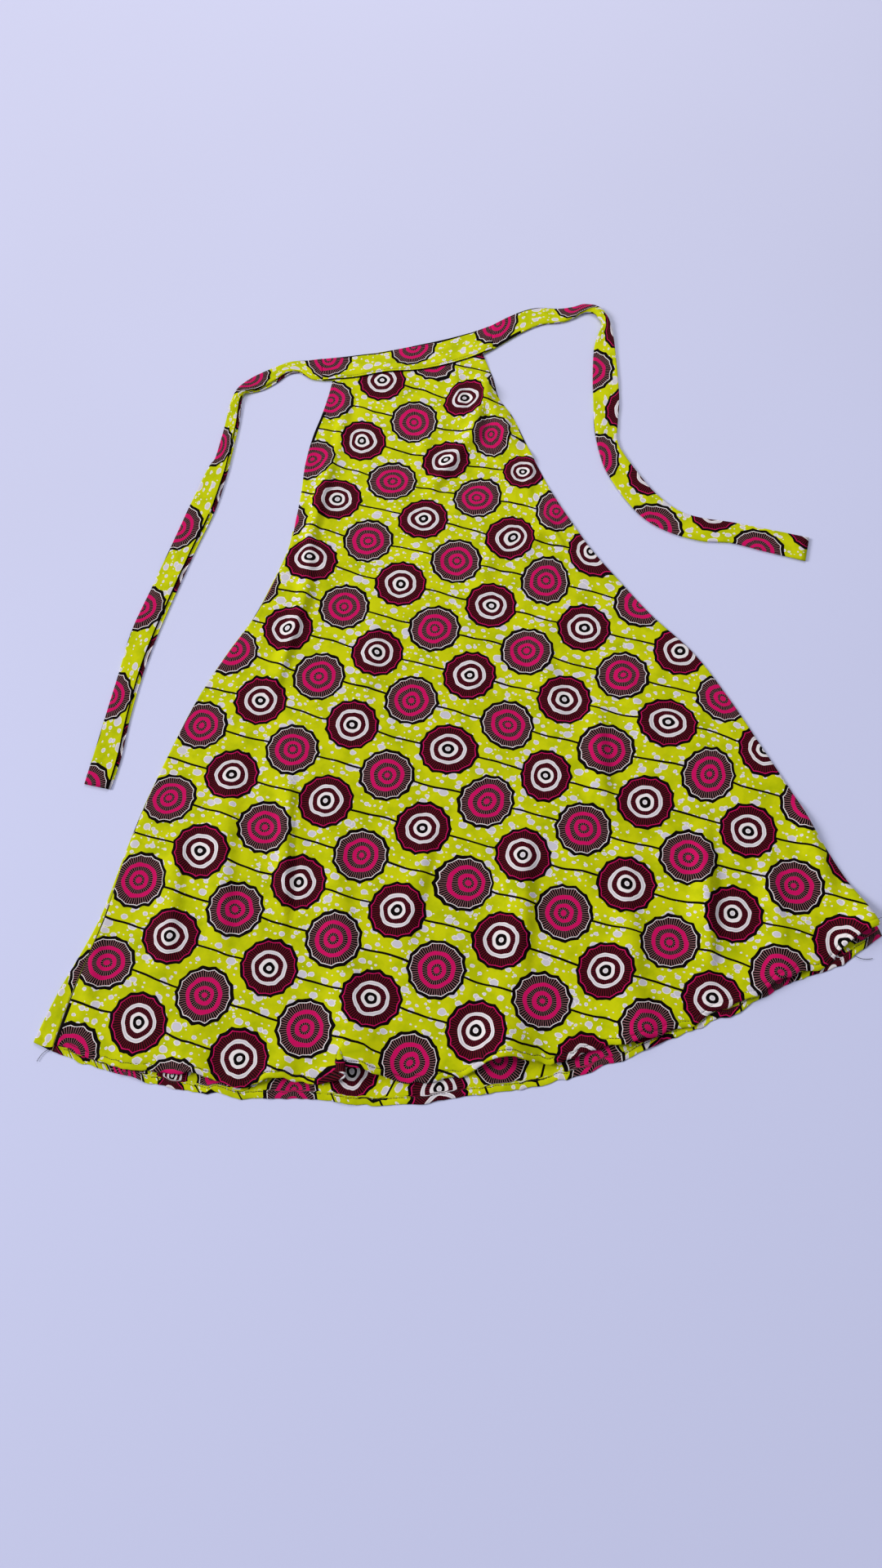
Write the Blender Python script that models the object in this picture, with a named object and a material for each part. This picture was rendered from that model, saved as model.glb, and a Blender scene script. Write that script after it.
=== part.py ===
"""Ankara wax print dress with a halter neck, laid out flat on its back.

Five pieces, all cotton cloth: the back panel on the floor, the front panel on it, the band that
encloses the front's neck edge, and the two neck ties that run on from the band.
"""

from bisect import bisect_right
from collections import namedtuple
from math import cos, hypot, pi, sqrt

import bmesh
import bpy

# Sizes are metres. Garment coordinates: x across from the middle of the neck, y up towards the
# neck from the lowest point of the hem, z up from the floor.
MIDDLE_X = 0.0185  # the middle of the whole outline, where the origin lies
MIDDLE_Y = 0.5750

CLOTH = 0.0012  # wall of one layer of cloth
SEAM_GAP = 0.0003  # between pieces that are sewn or lie together
ON_BACK = CLOTH + SEAM_GAP  # the front's underside where it lies on another layer
DOUBLE = 2 * CLOTH + SEAM_GAP  # a strip folded in two

BACK_TOP = 0.785  # the back is cut straight across at the underarm
CHEST_LOW = 0.800  # from here up the front sinks from the back panel to the floor
CHEST_HIGH = 0.845
NECK_RISE = 0.050  # this far below the band the front starts to rise on to its under layer
NECK_FOLDS_END = 0.017  # this far below it the folds start to flatten
NECK_SEAT = 0.004  # from here to the band the front lies flat on the under layer
EDGE_INSET = 0.012  # how far the front's neck edge goes into the band
SLOT_DEPTH = 0.0135  # how deep the band's two layers part for it
BAND_LEFT = -0.1250
BAND_RIGHT = 0.1320

Grid = namedtuple("Grid", "across along")  # faces of a panel
FRONT_GRID = Grid(46, 34)
BACK_GRID = Grid(26, 20)
STRIP_FACES = 2  # the back's faces across the cloth that wraps round to the front
HEM_TRIES = 12  # steps that bring a line down a panel to its hem
BAND_STATIONS = 26
TIE_STEPS = 3  # sections between two rows of a tie's table
TIE_CROWN = 6  # faces across the top of a tie
STRIP_POWER = 8.0  # a flat tie's crown is nearly square at its edges
ROLL_POWER = 2.4  # a rolled one's is nearly an ellipse

# The front's edges: the neck corners, the armholes down to 0.78, then the side seams.
Side = namedtuple("Side", "height left right")
SIDES = [
    Side(1.075, -0.104, 0.115),
    Side(1.020, -0.118, 0.128),
    Side(0.985, -0.129, 0.133),
    Side(0.950, -0.142, 0.149),
    Side(0.900, -0.155, 0.164),
    Side(0.850, -0.162, 0.179),
    Side(0.800, -0.171, 0.196),
    Side(0.760, -0.179, 0.213),
    Side(0.710, -0.200, 0.236),
    Side(0.650, -0.230, 0.271),
    Side(0.600, -0.265, 0.302),
    Side(0.540, -0.302, 0.347),
    Side(0.470, -0.336, 0.382),
    Side(0.400, -0.366, 0.411),
    Side(0.320, -0.394, 0.443),
    Side(0.240, -0.417, 0.471),
    Side(0.160, -0.448, 0.504),
    Side(0.090, -0.469, 0.514),
    Side(0.000, -0.490, 0.520),
]

# The back's cloth that wraps round the left side on to the front, beside the side seam.
Wrap = namedtuple("Wrap", "height width")
WRAPS = [
    Wrap(0.000, 0.036),
    Wrap(0.100, 0.027),
    Wrap(0.150, 0.020),
    Wrap(0.200, 0.012),
    Wrap(0.260, 0.005),
    Wrap(0.330, 0.002),
    Wrap(0.800, 0.002),
]
WRAP_FULL = 0.240  # below this height the wrapped cloth stands a whole layer up
WRAP_NONE = 0.330

# The two hems, as heights at places across: the back's lies lower and even, the front's ripples.
Hem = namedtuple("Hem", "x back front")
HEMS = [
    Hem(-0.500, 0.106, 0.110),
    Hem(-0.466, 0.088, 0.096),
    Hem(-0.400, 0.062, 0.069),
    Hem(-0.350, 0.045, 0.057),
    Hem(-0.300, 0.032, 0.051),
    Hem(-0.245, 0.021, 0.032),
    Hem(-0.205, 0.017, 0.040),
    Hem(-0.160, 0.013, 0.029),
    Hem(-0.115, 0.004, 0.043),
    Hem(-0.055, 0.000, 0.023),
    Hem(0.000, 0.003, 0.025),
    Hem(0.058, 0.007, 0.045),
    Hem(0.105, 0.011, 0.032),
    Hem(0.170, 0.025, 0.046),
    Hem(0.240, 0.048, 0.055),
    Hem(0.320, 0.072, 0.081),
    Hem(0.400, 0.105, 0.111),
    Hem(0.460, 0.122, 0.128),
    Hem(0.520, 0.156, 0.160),
]

# Soft ripples that stand up from the hem: place, half width, height and how far up they reach.
Ripple = namedtuple("Ripple", "x half_width height reach")
RIPPLES = [
    Ripple(-0.305, 0.040, 0.0045, 0.110),
    Ripple(-0.205, 0.034, 0.0050, 0.070),
    Ripple(-0.115, 0.048, 0.0090, 0.150),
    Ripple(0.058, 0.046, 0.0085, 0.130),
    Ripple(0.205, 0.045, 0.0060, 0.190),
    Ripple(0.385, 0.050, 0.0035, 0.120),
    Ripple(0.500, 0.045, 0.0080, 0.075),
]

# Soft folds in the front, each a ridge along a line from its top to its bottom.
Fold = namedtuple("Fold", "top_x top_y low_x low_y half_width height")
FOLDS = [
    Fold(0.098, 1.052, 0.156, 0.860, 0.017, 0.0040),
    Fold(0.070, 1.046, 0.080, 0.930, 0.014, 0.0025),
    Fold(-0.085, 1.040, -0.110, 0.900, 0.015, 0.0020),
    Fold(-0.165, 0.790, -0.110, 0.700, 0.014, 0.0018),
    Fold(0.200, 0.780, 0.130, 0.700, 0.016, 0.0020),
    Fold(-0.182, 0.400, -0.168, 0.250, 0.010, 0.0022),
    Fold(0.330, 0.330, 0.300, 0.180, 0.020, 0.0022),
]

# The neck band's upper fold and lower edge, as heights at places across.
Band = namedtuple("Band", "x fold edge")
BANDS = [
    Band(-0.125, 1.0900, 1.0480),
    Band(-0.080, 1.0905, 1.0460),
    Band(-0.030, 1.0930, 1.0510),
    Band(0.020, 1.0990, 1.0490),
    Band(0.065, 1.1060, 1.0550),
    Band(0.100, 1.1135, 1.0640),
    Band(0.132, 1.1230, 1.0770),
]

# Sections of the ties from the band outwards: the outer and the inner edge, the height, how round
# the section is (0 for a flat strip, 1 for a roll), and how far the under layer shows at the inner
# edge.
Section = namedtuple("Section", "outer_x outer_y inner_x inner_y height round_ under")
LEFT_TIE = [
    Section(-0.1253, 1.0900, -0.1253, 1.0480, 0.0027, 0.0, 0.000),
    Section(-0.1500, 1.0895, -0.1430, 1.0535, 0.0028, 0.1, 0.000),
    Section(-0.1710, 1.0900, -0.1600, 1.0670, 0.0030, 0.2, 0.003),
    Section(-0.1900, 1.0845, -0.1780, 1.0660, 0.0034, 0.3, 0.004),
    Section(-0.2090, 1.0770, -0.1950, 1.0530, 0.0034, 0.3, 0.005),
    Section(-0.2320, 1.0660, -0.2150, 1.0420, 0.0036, 0.4, 0.004),
    Section(-0.2460, 1.0550, -0.2340, 1.0380, 0.0050, 0.7, 0.002),
    Section(-0.2550, 1.0450, -0.2430, 1.0370, 0.0066, 1.0, 0.000),
    Section(-0.2610, 1.0310, -0.2475, 1.0265, 0.0060, 0.9, 0.002),
    Section(-0.2670, 1.0120, -0.2490, 1.0080, 0.0042, 0.5, 0.004),
    Section(-0.2720, 0.9850, -0.2520, 0.9810, 0.0036, 0.3, 0.004),
    Section(-0.2790, 0.9530, -0.2580, 0.9490, 0.0036, 0.2, 0.004),
    Section(-0.2870, 0.9220, -0.2645, 0.9160, 0.0036, 0.2, 0.004),
    Section(-0.2970, 0.9060, -0.2680, 0.8980, 0.0034, 0.1, 0.004),
    Section(-0.3220, 0.8450, -0.2860, 0.8320, 0.0028, 0.0, 0.005),
    Section(-0.3480, 0.7770, -0.3130, 0.7670, 0.0027, 0.0, 0.005),
    Section(-0.3740, 0.7100, -0.3390, 0.7000, 0.0027, 0.0, 0.005),
    Section(-0.3990, 0.6450, -0.3630, 0.6350, 0.0027, 0.0, 0.005),
    Section(-0.4120, 0.5880, -0.3800, 0.5800, 0.0028, 0.1, 0.005),
    Section(-0.4280, 0.5210, -0.3950, 0.5150, 0.0027, 0.0, 0.004),
    Section(-0.4410, 0.4660, -0.4040, 0.4600, 0.0027, 0.0, 0.004),
    Section(-0.4510, 0.4260, -0.4160, 0.4150, 0.0027, 0.0, 0.003),
]
RIGHT_TIE = [
    Section(0.1323, 1.1230, 0.1323, 1.0770, 0.0027, 0.0, 0.000),
    Section(0.1700, 1.1410, 0.1720, 1.1010, 0.0028, 0.1, 0.000),
    Section(0.2030, 1.1490, 0.2070, 1.1155, 0.0030, 0.2, 0.000),
    Section(0.2360, 1.1430, 0.2370, 1.1165, 0.0034, 0.3, 0.000),
    Section(0.2570, 1.1430, 0.2550, 1.1210, 0.0042, 0.6, 0.000),
    Section(0.2770, 1.1460, 0.2730, 1.1300, 0.0056, 0.9, 0.000),
    Section(0.2950, 1.1400, 0.2870, 1.1280, 0.0066, 1.0, 0.000),
    Section(0.3060, 1.1250, 0.2940, 1.1180, 0.0070, 1.0, 0.000),
    Section(0.3110, 1.1070, 0.2980, 1.1040, 0.0062, 0.9, 0.000),
    Section(0.3125, 1.0860, 0.2890, 1.0820, 0.0046, 0.5, 0.000),
    Section(0.3125, 1.0620, 0.2810, 1.0590, 0.0034, 0.2, 0.002),
    Section(0.3100, 1.0100, 0.2730, 1.0080, 0.0028, 0.0, 0.003),
    Section(0.3060, 0.9600, 0.2680, 0.9580, 0.0027, 0.0, 0.003),
    Section(0.2990, 0.9220, 0.2640, 0.9120, 0.0028, 0.1, 0.003),
    Section(0.2940, 0.8880, 0.2660, 0.8700, 0.0032, 0.2, 0.003),
    Section(0.3020, 0.8600, 0.2720, 0.8360, 0.0030, 0.2, 0.003),
    Section(0.3260, 0.8080, 0.2910, 0.7890, 0.0028, 0.1, 0.003),
    Section(0.3450, 0.7790, 0.3140, 0.7520, 0.0028, 0.1, 0.003),
    Section(0.3670, 0.7570, 0.3460, 0.7260, 0.0028, 0.1, 0.003),
    Section(0.3950, 0.7440, 0.3860, 0.7080, 0.0028, 0.1, 0.003),
    Section(0.4300, 0.7340, 0.4240, 0.7010, 0.0028, 0.1, 0.003),
    Section(0.4780, 0.7170, 0.4640, 0.6840, 0.0028, 0.0, 0.003),
    Section(0.5290, 0.6980, 0.5170, 0.6620, 0.0027, 0.0, 0.003),
]

# The cloth's ground and print, as the eye reads each piece from a distance.
LIME = "B4C600"
DEEP_LIME = "9DB000"
MAGENTA = "C8266F"
WAX_COTTON_ROUGHNESS = 0.72


def smooth_line(rows, by, column):
    """A smooth curve through one column of a table, read at any value of the column by."""
    points = sorted((getattr(row, by), getattr(row, column)) for row in rows)
    at = [p[0] for p in points]
    values = [p[1] for p in points]
    steps = [(values[k + 1] - values[k]) / (at[k + 1] - at[k]) for k in range(len(at) - 1)]
    slopes = [steps[0]] + [(a + b) / 2 for a, b in zip(steps, steps[1:])] + [steps[-1]]

    def read(where):
        where = min(max(where, at[0]), at[-1])
        k = min(bisect_right(at, where) - 1, len(at) - 2)
        span = at[k + 1] - at[k]
        u = (where - at[k]) / span
        ends = values[k] * (1 + 2 * u) * (1 - u) ** 2 + values[k + 1] * (3 - 2 * u) * u * u
        return ends + span * (slopes[k] * u * (1 - u) ** 2 - slopes[k + 1] * (1 - u) * u * u)

    return read


left_edge = smooth_line(SIDES, "height", "left")
right_edge = smooth_line(SIDES, "height", "right")
wrap_width = smooth_line(WRAPS, "height", "width")
back_hem = smooth_line(HEMS, "x", "back")
front_hem = smooth_line(HEMS, "x", "front")
band_fold = smooth_line(BANDS, "x", "fold")
band_edge = smooth_line(BANDS, "x", "edge")


def ease(low, high, value):
    """0 below low, 1 above high, and smooth between them."""
    u = min(max((value - low) / (high - low), 0.0), 1.0)
    return u * u * (3 - 2 * u)


def mound(distance, half_width):
    """A soft ridge's height at a distance from its line, from 1 down to 0."""
    return cos(pi / 2 * distance / half_width) ** 2 if abs(distance) < half_width else 0.0


def hem_height(hem, across):
    """The height at which a line that runs down a panel meets the hem, from its place across."""
    y = 0.0
    for _ in range(HEM_TRIES):
        y = hem(across(y))
    return y


def front_place(column, row):
    """The front's outline: columns from its left to its right edge, rows from the neck down."""
    share = column / FRONT_GRID.across

    def across(y):
        return left_edge(y) + (right_edge(y) - left_edge(y)) * share

    low = hem_height(front_hem, across)
    neck_left, neck_right = left_edge(band_edge(BAND_LEFT)), right_edge(band_edge(BAND_RIGHT))
    high = band_edge(neck_left + (neck_right - neck_left) * share) + EDGE_INSET
    y = high + (low - high) * row / FRONT_GRID.along
    return across(y), y


def ripple_height(x, y):
    above_hem = y - front_hem(x)
    return sum(
        r.height * mound(x - r.x, r.half_width) * (1 - ease(0.0, r.reach, above_hem))
        for r in RIPPLES
    )


def fold_height(x, y):
    total = 0.0
    for f in FOLDS:
        run_x, run_y = f.low_x - f.top_x, f.low_y - f.top_y
        length = hypot(run_x, run_y)
        along = ((x - f.top_x) * run_x + (y - f.top_y) * run_y) / length**2
        aside = ((x - f.top_x) * run_y - (y - f.top_y) * run_x) / length
        if 0 < along < 1:
            fade = 4 * along * (1 - along)  # 0 at the fold's ends, 1 in its middle
            total += f.height * mound(aside, f.half_width) * fade
    return total


def front_under(x, y):
    """Height of the front's underside: on the back, sunk to the floor at the chest, on the band."""
    below_band = band_edge(x) - y
    on_band = 1 - ease(NECK_SEAT, NECK_RISE, below_band)
    sunk = ease(CHEST_LOW, CHEST_HIGH, y) * (1 - on_band)
    folds = fold_height(x, y) * ease(NECK_SEAT, NECK_FOLDS_END, below_band)
    return ON_BACK * (1 - sunk) + ripple_height(x, y) + folds


def front_over(x, y):
    """Height of the front's face: one layer of cloth above its underside, measured squarely."""
    near = CLOTH / 2
    tilt_x = (front_under(x + near, y) - front_under(x - near, y)) / CLOTH
    tilt_y = (front_under(x, y + near) - front_under(x, y - near)) / CLOTH
    return front_under(x, y) + CLOTH * sqrt(1 + tilt_x**2 + tilt_y**2)


def back_place(column, row):
    """The back's outline. Its first faces across are the wrapped strip, then the strip's step."""

    def across(y):
        step = left_edge(y) - SEAM_GAP
        if column <= STRIP_FACES:
            left = left_edge(y) - wrap_width(y)
            return left + (step - SEAM_GAP - left) * column / STRIP_FACES
        done = STRIP_FACES + 1
        return step + (right_edge(y) - step) * (column - done) / (BACK_GRID.across - done)

    y = BACK_TOP + (hem_height(back_hem, across) - BACK_TOP) * row / BACK_GRID.along
    return across(y), y


def back_over(x, y):
    """Height of the back's face, a layer higher on the strip that wraps round to the front."""
    mid_step = left_edge(y) - 3 * SEAM_GAP / 2
    return CLOTH + ON_BACK * (x < mid_step) * (1 - ease(WRAP_FULL, WRAP_NONE, y))


def floor_height(x, y):
    return 0.0


def panel_mesh(name, grid, place, under, over):
    """A wall of cloth as a mesh: a grid laid on the outline, then raised into its thickness."""
    bm = bmesh.new()
    bmesh.ops.create_grid(bm, x_segments=grid.across, y_segments=grid.along, size=1.0)
    for v in bm.verts:
        column = round(grid.across * (1 + v.co.x) / 2)
        row = round(grid.along * (1 - v.co.y) / 2)
        x, y = place(column, row)
        v.co = (x, y, under(x, y))
    raised = bmesh.ops.extrude_face_region(bm, geom=bm.faces[:])["geom"]
    for v in raised:
        if isinstance(v, bmesh.types.BMVert):
            v.co.z = over(v.co.x, v.co.y)
    return finished_mesh(name, bm)


def loft_mesh(name, rings):
    """A closed mesh through rings of equally many points, capped at both ends."""
    bm = bmesh.new()
    loops = [[bm.verts.new(point) for point in ring] for ring in rings]
    for first, second in zip(loops, loops[1:]):
        for k in range(len(first)):
            bm.faces.new((first[k - 1], first[k], second[k], second[k - 1]))
    for cap in (loops[0], loops[-1]):
        bm.faces.new(cap)
    return finished_mesh(name, bm)


def finished_mesh(name, bm):
    """The mesh moved from garment coordinates to the origin, its faces outwards, shaded smooth."""
    for v in bm.verts:
        v.co.x -= MIDDLE_X
        v.co.y -= MIDDLE_Y
    bmesh.ops.recalc_face_normals(bm, faces=bm.faces[:])
    mesh = bpy.data.meshes.new(name)
    bm.to_mesh(mesh)
    bm.free()
    mesh.shade_smooth()
    mesh.set_sharp_from_angle(angle=pi / 5)
    return mesh


def band_ring(x):
    """The band's section: a folded strip whose two layers part at the lower edge round the front."""
    edge, fold = band_edge(x), band_fold(x)
    top = DOUBLE + ON_BACK  # the upper layer's face where it lies on the front
    roll = DOUBLE / 3
    profile = [
        (0.0, 0.0),
        (fold - edge - roll, 0.0),
        (fold - edge, roll),
        (fold - edge, DOUBLE - roll),
        (fold - edge - roll, DOUBLE),
        (2 * SLOT_DEPTH, DOUBLE),
        (SLOT_DEPTH + CLOTH, top),
        (0.0, top),
        (0.0, top - CLOTH),
        (SLOT_DEPTH, top - CLOTH),
        (SLOT_DEPTH, CLOTH),
        (0.0, CLOTH),
    ]
    return [(x, edge + d, z) for d, z in profile]


def neck_band():
    span = BAND_RIGHT - BAND_LEFT
    rings = [band_ring(BAND_LEFT + span * k / BAND_STATIONS) for k in range(BAND_STATIONS + 1)]
    return loft_mesh("neck_band", rings)


def tie_ring(row):
    """A tie's section: flat on the floor, crowned on top, the under layer a step at the inner edge."""
    width = hypot(row.inner_x - row.outer_x, row.inner_y - row.outer_y)
    power = STRIP_POWER + (ROLL_POWER - STRIP_POWER) * min(max(row.round_, 0.0), 1.0)
    top_width = width - max(row.under, 0.0) - SEAM_GAP
    profile = [(0.0, 0.0), (width, 0.0), (width, CLOTH)]
    for k in range(TIE_CROWN + 1):
        across = cos(pi * k / TIE_CROWN)
        lift = (1 - abs(across) ** power) ** (1 / power)
        profile.append((top_width * (1 + across) / 2, CLOTH + (row.height - CLOTH) * lift))
    to_x = (row.inner_x - row.outer_x) / width
    to_y = (row.inner_y - row.outer_y) / width
    return [(row.outer_x + to_x * d, row.outer_y + to_y * d, z) for d, z in profile]


def tie(name, rows):
    """A tie lofted through its table's sections, with smooth ones worked out between them."""
    Place = namedtuple("Place", ("along",) + Section._fields)
    placed = [Place(k, *row) for k, row in enumerate(rows)]
    lines = [smooth_line(placed, "along", column) for column in Section._fields]
    stops = [k / TIE_STEPS for k in range((len(rows) - 1) * TIE_STEPS + 1)]
    return loft_mesh(name, [tie_ring(Section(*(line(stop) for line in lines))) for stop in stops])


def linear(hex_colour):
    """An sRGB hex colour as linear red, green, blue and alpha."""
    shares = [int(hex_colour[k : k + 2], 16) / 255 for k in (0, 2, 4)]
    return [c / 12.92 if c <= 0.04045 else ((c + 0.055) / 1.055) ** 2.4 for c in shares] + [1.0]


def wax_cotton(name, hex_colour):
    """Plain-woven cotton, wax printed: matt, with no metal in it."""
    material = bpy.data.materials.new(name)
    material.use_nodes = True
    shader = material.node_tree.nodes["Principled BSDF"]
    shader.inputs["Base Color"].default_value = linear(hex_colour)
    shader.inputs["Roughness"].default_value = WAX_COTTON_ROUGHNESS
    shader.inputs["Metallic"].default_value = 0.0
    return material


def main():
    for obj in list(bpy.data.objects):
        bpy.data.objects.remove(obj, do_unlink=True)
    dress = bpy.data.collections.new("ankara_wax_print_dress")
    bpy.context.scene.collection.children.link(dress)
    back = panel_mesh("back_panel", BACK_GRID, back_place, floor_height, back_over)
    front = panel_mesh("front_panel", FRONT_GRID, front_place, front_under, front_over)
    pieces = [
        (back, DEEP_LIME),
        (front, LIME),
        (neck_band(), MAGENTA),
        (tie("left_tie", LEFT_TIE), LIME),
        (tie("right_tie", RIGHT_TIE), LIME),
    ]
    for mesh, colour in pieces:
        mesh.materials.append(wax_cotton(f"{mesh.name} wax cotton", colour))
        dress.objects.link(bpy.data.objects.new(mesh.name, mesh))


main()
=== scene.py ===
"""The looks of a wax print cotton halter dress, laid out flat with its front up.

Every piece is a thin shell of cloth on the form of its solid: the front with its folds and rippling
hem, the back with its turned-up hem and the strip that wraps round the left side, the folded band
and the two folded ties. The print is worked out in the cloth's own coordinates, so it follows the
folds as a real print does.
"""

from bisect import bisect_right
from collections import namedtuple
from functools import partial
from math import cos, hypot, pi, radians, sin, tan

import bmesh
import bpy
from mathutils import Matrix, Vector, noise


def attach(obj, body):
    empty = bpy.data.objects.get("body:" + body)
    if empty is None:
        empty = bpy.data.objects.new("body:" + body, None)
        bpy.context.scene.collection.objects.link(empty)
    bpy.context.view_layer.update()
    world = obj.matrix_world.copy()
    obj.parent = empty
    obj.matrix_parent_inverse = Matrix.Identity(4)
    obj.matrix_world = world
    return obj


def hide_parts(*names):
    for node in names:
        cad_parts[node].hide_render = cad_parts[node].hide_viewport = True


bl_info = {
    "name": "Wax print halter dress",
    "version": (1, 0, 0),
    "blender": (4, 5, 0),
    "location": "View3D > Sidebar > Dress",
    "description": "Builds a laid-out halter dress of wax print cotton on its packed model",
    "category": "Object",
}

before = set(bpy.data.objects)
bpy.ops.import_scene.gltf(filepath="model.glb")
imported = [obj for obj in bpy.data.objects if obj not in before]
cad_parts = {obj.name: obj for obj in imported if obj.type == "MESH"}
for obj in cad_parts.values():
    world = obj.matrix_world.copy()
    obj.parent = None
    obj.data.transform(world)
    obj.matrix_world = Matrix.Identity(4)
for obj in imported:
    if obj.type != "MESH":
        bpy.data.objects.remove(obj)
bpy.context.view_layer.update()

# Sizes are metres. Garment coordinates, as in the solids: x across from the middle of the neck,
# y up towards the neck from the lowest point of the hem, z up from the floor.
MIDDLE_X = 0.0185  # the middle of the outline, where the frame's origin lies
MIDDLE_Y = 0.5750

LAYER = 0.0012  # the solids' wall of one layer
SEAM_GAP = 0.0003  # between pieces that lie together
ON_BACK = LAYER + SEAM_GAP  # the front's underside where it lies on another layer

BACK_TOP = 0.785  # the back is cut straight across at the underarm
CHEST_LOW = 0.800  # from here up the front sinks from the back panel to the floor
CHEST_HIGH = 0.845
NECK_RISE = 0.050  # this far below the band the front starts to rise on to its under layer
NECK_FOLDS_END = 0.017  # this far below it the folds start to flatten
NECK_SEAT = 0.004  # from here to the band the front lies flat on the under layer
EDGE_INSET = 0.012  # how far the front's neck edge goes into the band
BAND_LEFT = -0.1250  # the band's two ends
BAND_RIGHT = 0.1320

# The print: discs on a lattice, white-ringed ones in the rows and pink-ringed ones between them.
DISC_STEP = 0.1284  # from disc to disc along a row
ROW_STEP = 0.1092  # from a row to the next of the same disc
ROW_SLIP = 0.0030  # sideways between them
GRAIN_TURN = radians(-21.3)  # the rows' slope on the front
WHITE_DISC = (-0.0373, 1.0375)  # one white-ringed disc's middle on the front
PINK_DISC = (DISC_STEP / 2 + ROW_SLIP / 2, -ROW_STEP / 2)  # a pink-ringed one, in the print's own frame
ON_ROW_LINE = (DISC_STEP / 2, 0.0)  # on the black line between two discs

# The front's edges: the armholes from the neck down to the underarm, then the side seams.
Side = namedtuple("Side", "height left right")
SIDES = [
    Side(1.075, -0.104, 0.115),
    Side(1.020, -0.118, 0.128),
    Side(0.985, -0.129, 0.133),
    Side(0.950, -0.142, 0.149),
    Side(0.900, -0.155, 0.164),
    Side(0.850, -0.162, 0.179),
    Side(0.800, -0.171, 0.196),
    Side(0.760, -0.179, 0.213),
    Side(0.710, -0.200, 0.236),
    Side(0.650, -0.230, 0.271),
    Side(0.600, -0.265, 0.302),
    Side(0.540, -0.302, 0.347),
    Side(0.470, -0.336, 0.382),
    Side(0.400, -0.366, 0.411),
    Side(0.320, -0.394, 0.443),
    Side(0.240, -0.417, 0.471),
    Side(0.160, -0.448, 0.504),
    Side(0.090, -0.469, 0.514),
    Side(0.000, -0.490, 0.520),
]

# The back's cloth that wraps round the left side on to the front, beside the side seam.
Wrap = namedtuple("Wrap", "height width")
WRAPS = [
    Wrap(0.000, 0.036),
    Wrap(0.100, 0.027),
    Wrap(0.150, 0.020),
    Wrap(0.200, 0.012),
    Wrap(0.260, 0.005),
    Wrap(0.330, 0.002),
    Wrap(0.800, 0.002),
]
WRAP_FULL = 0.240  # below this height the wrapped cloth stands a whole layer up
WRAP_NONE = 0.330  # and above this one it lies down by the back

# The two hems, as heights at places across. The front's opens from the back's at the lower right.
Hem = namedtuple("Hem", "x back front")
HEMS = [
    Hem(-0.500, 0.106, 0.110),
    Hem(-0.466, 0.088, 0.096),
    Hem(-0.400, 0.062, 0.069),
    Hem(-0.350, 0.045, 0.057),
    Hem(-0.300, 0.032, 0.051),
    Hem(-0.245, 0.021, 0.032),
    Hem(-0.205, 0.017, 0.040),
    Hem(-0.160, 0.013, 0.029),
    Hem(-0.115, 0.004, 0.043),
    Hem(-0.055, 0.000, 0.023),
    Hem(0.000, 0.003, 0.025),
    Hem(0.058, 0.007, 0.0425),
    Hem(0.105, 0.011, 0.032),
    Hem(0.170, 0.025, 0.046),
    Hem(0.240, 0.048, 0.055),
    Hem(0.320, 0.072, 0.081),
    Hem(0.400, 0.105, 0.111),
    Hem(0.436, 0.113, 0.119),
    Hem(0.456, 0.120, 0.134),
    Hem(0.476, 0.131, 0.150),
    Hem(0.500, 0.145, 0.158),
    Hem(0.520, 0.156, 0.166),
]

# Soft ripples that stand up from the front's hem: place, half width, height and how far up they
# reach. Two are higher than the solid's, where the hem opens.
Ripple = namedtuple("Ripple", "x half_width height reach")
RIPPLES = [
    Ripple(-0.305, 0.040, 0.0045, 0.110),
    Ripple(-0.205, 0.034, 0.0050, 0.070),
    Ripple(-0.115, 0.048, 0.0090, 0.150),
    Ripple(0.058, 0.048, 0.0160, 0.100),
    Ripple(0.205, 0.045, 0.0060, 0.190),
    Ripple(0.385, 0.050, 0.0035, 0.120),
    Ripple(0.490, 0.046, 0.0120, 0.070),
]

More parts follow.
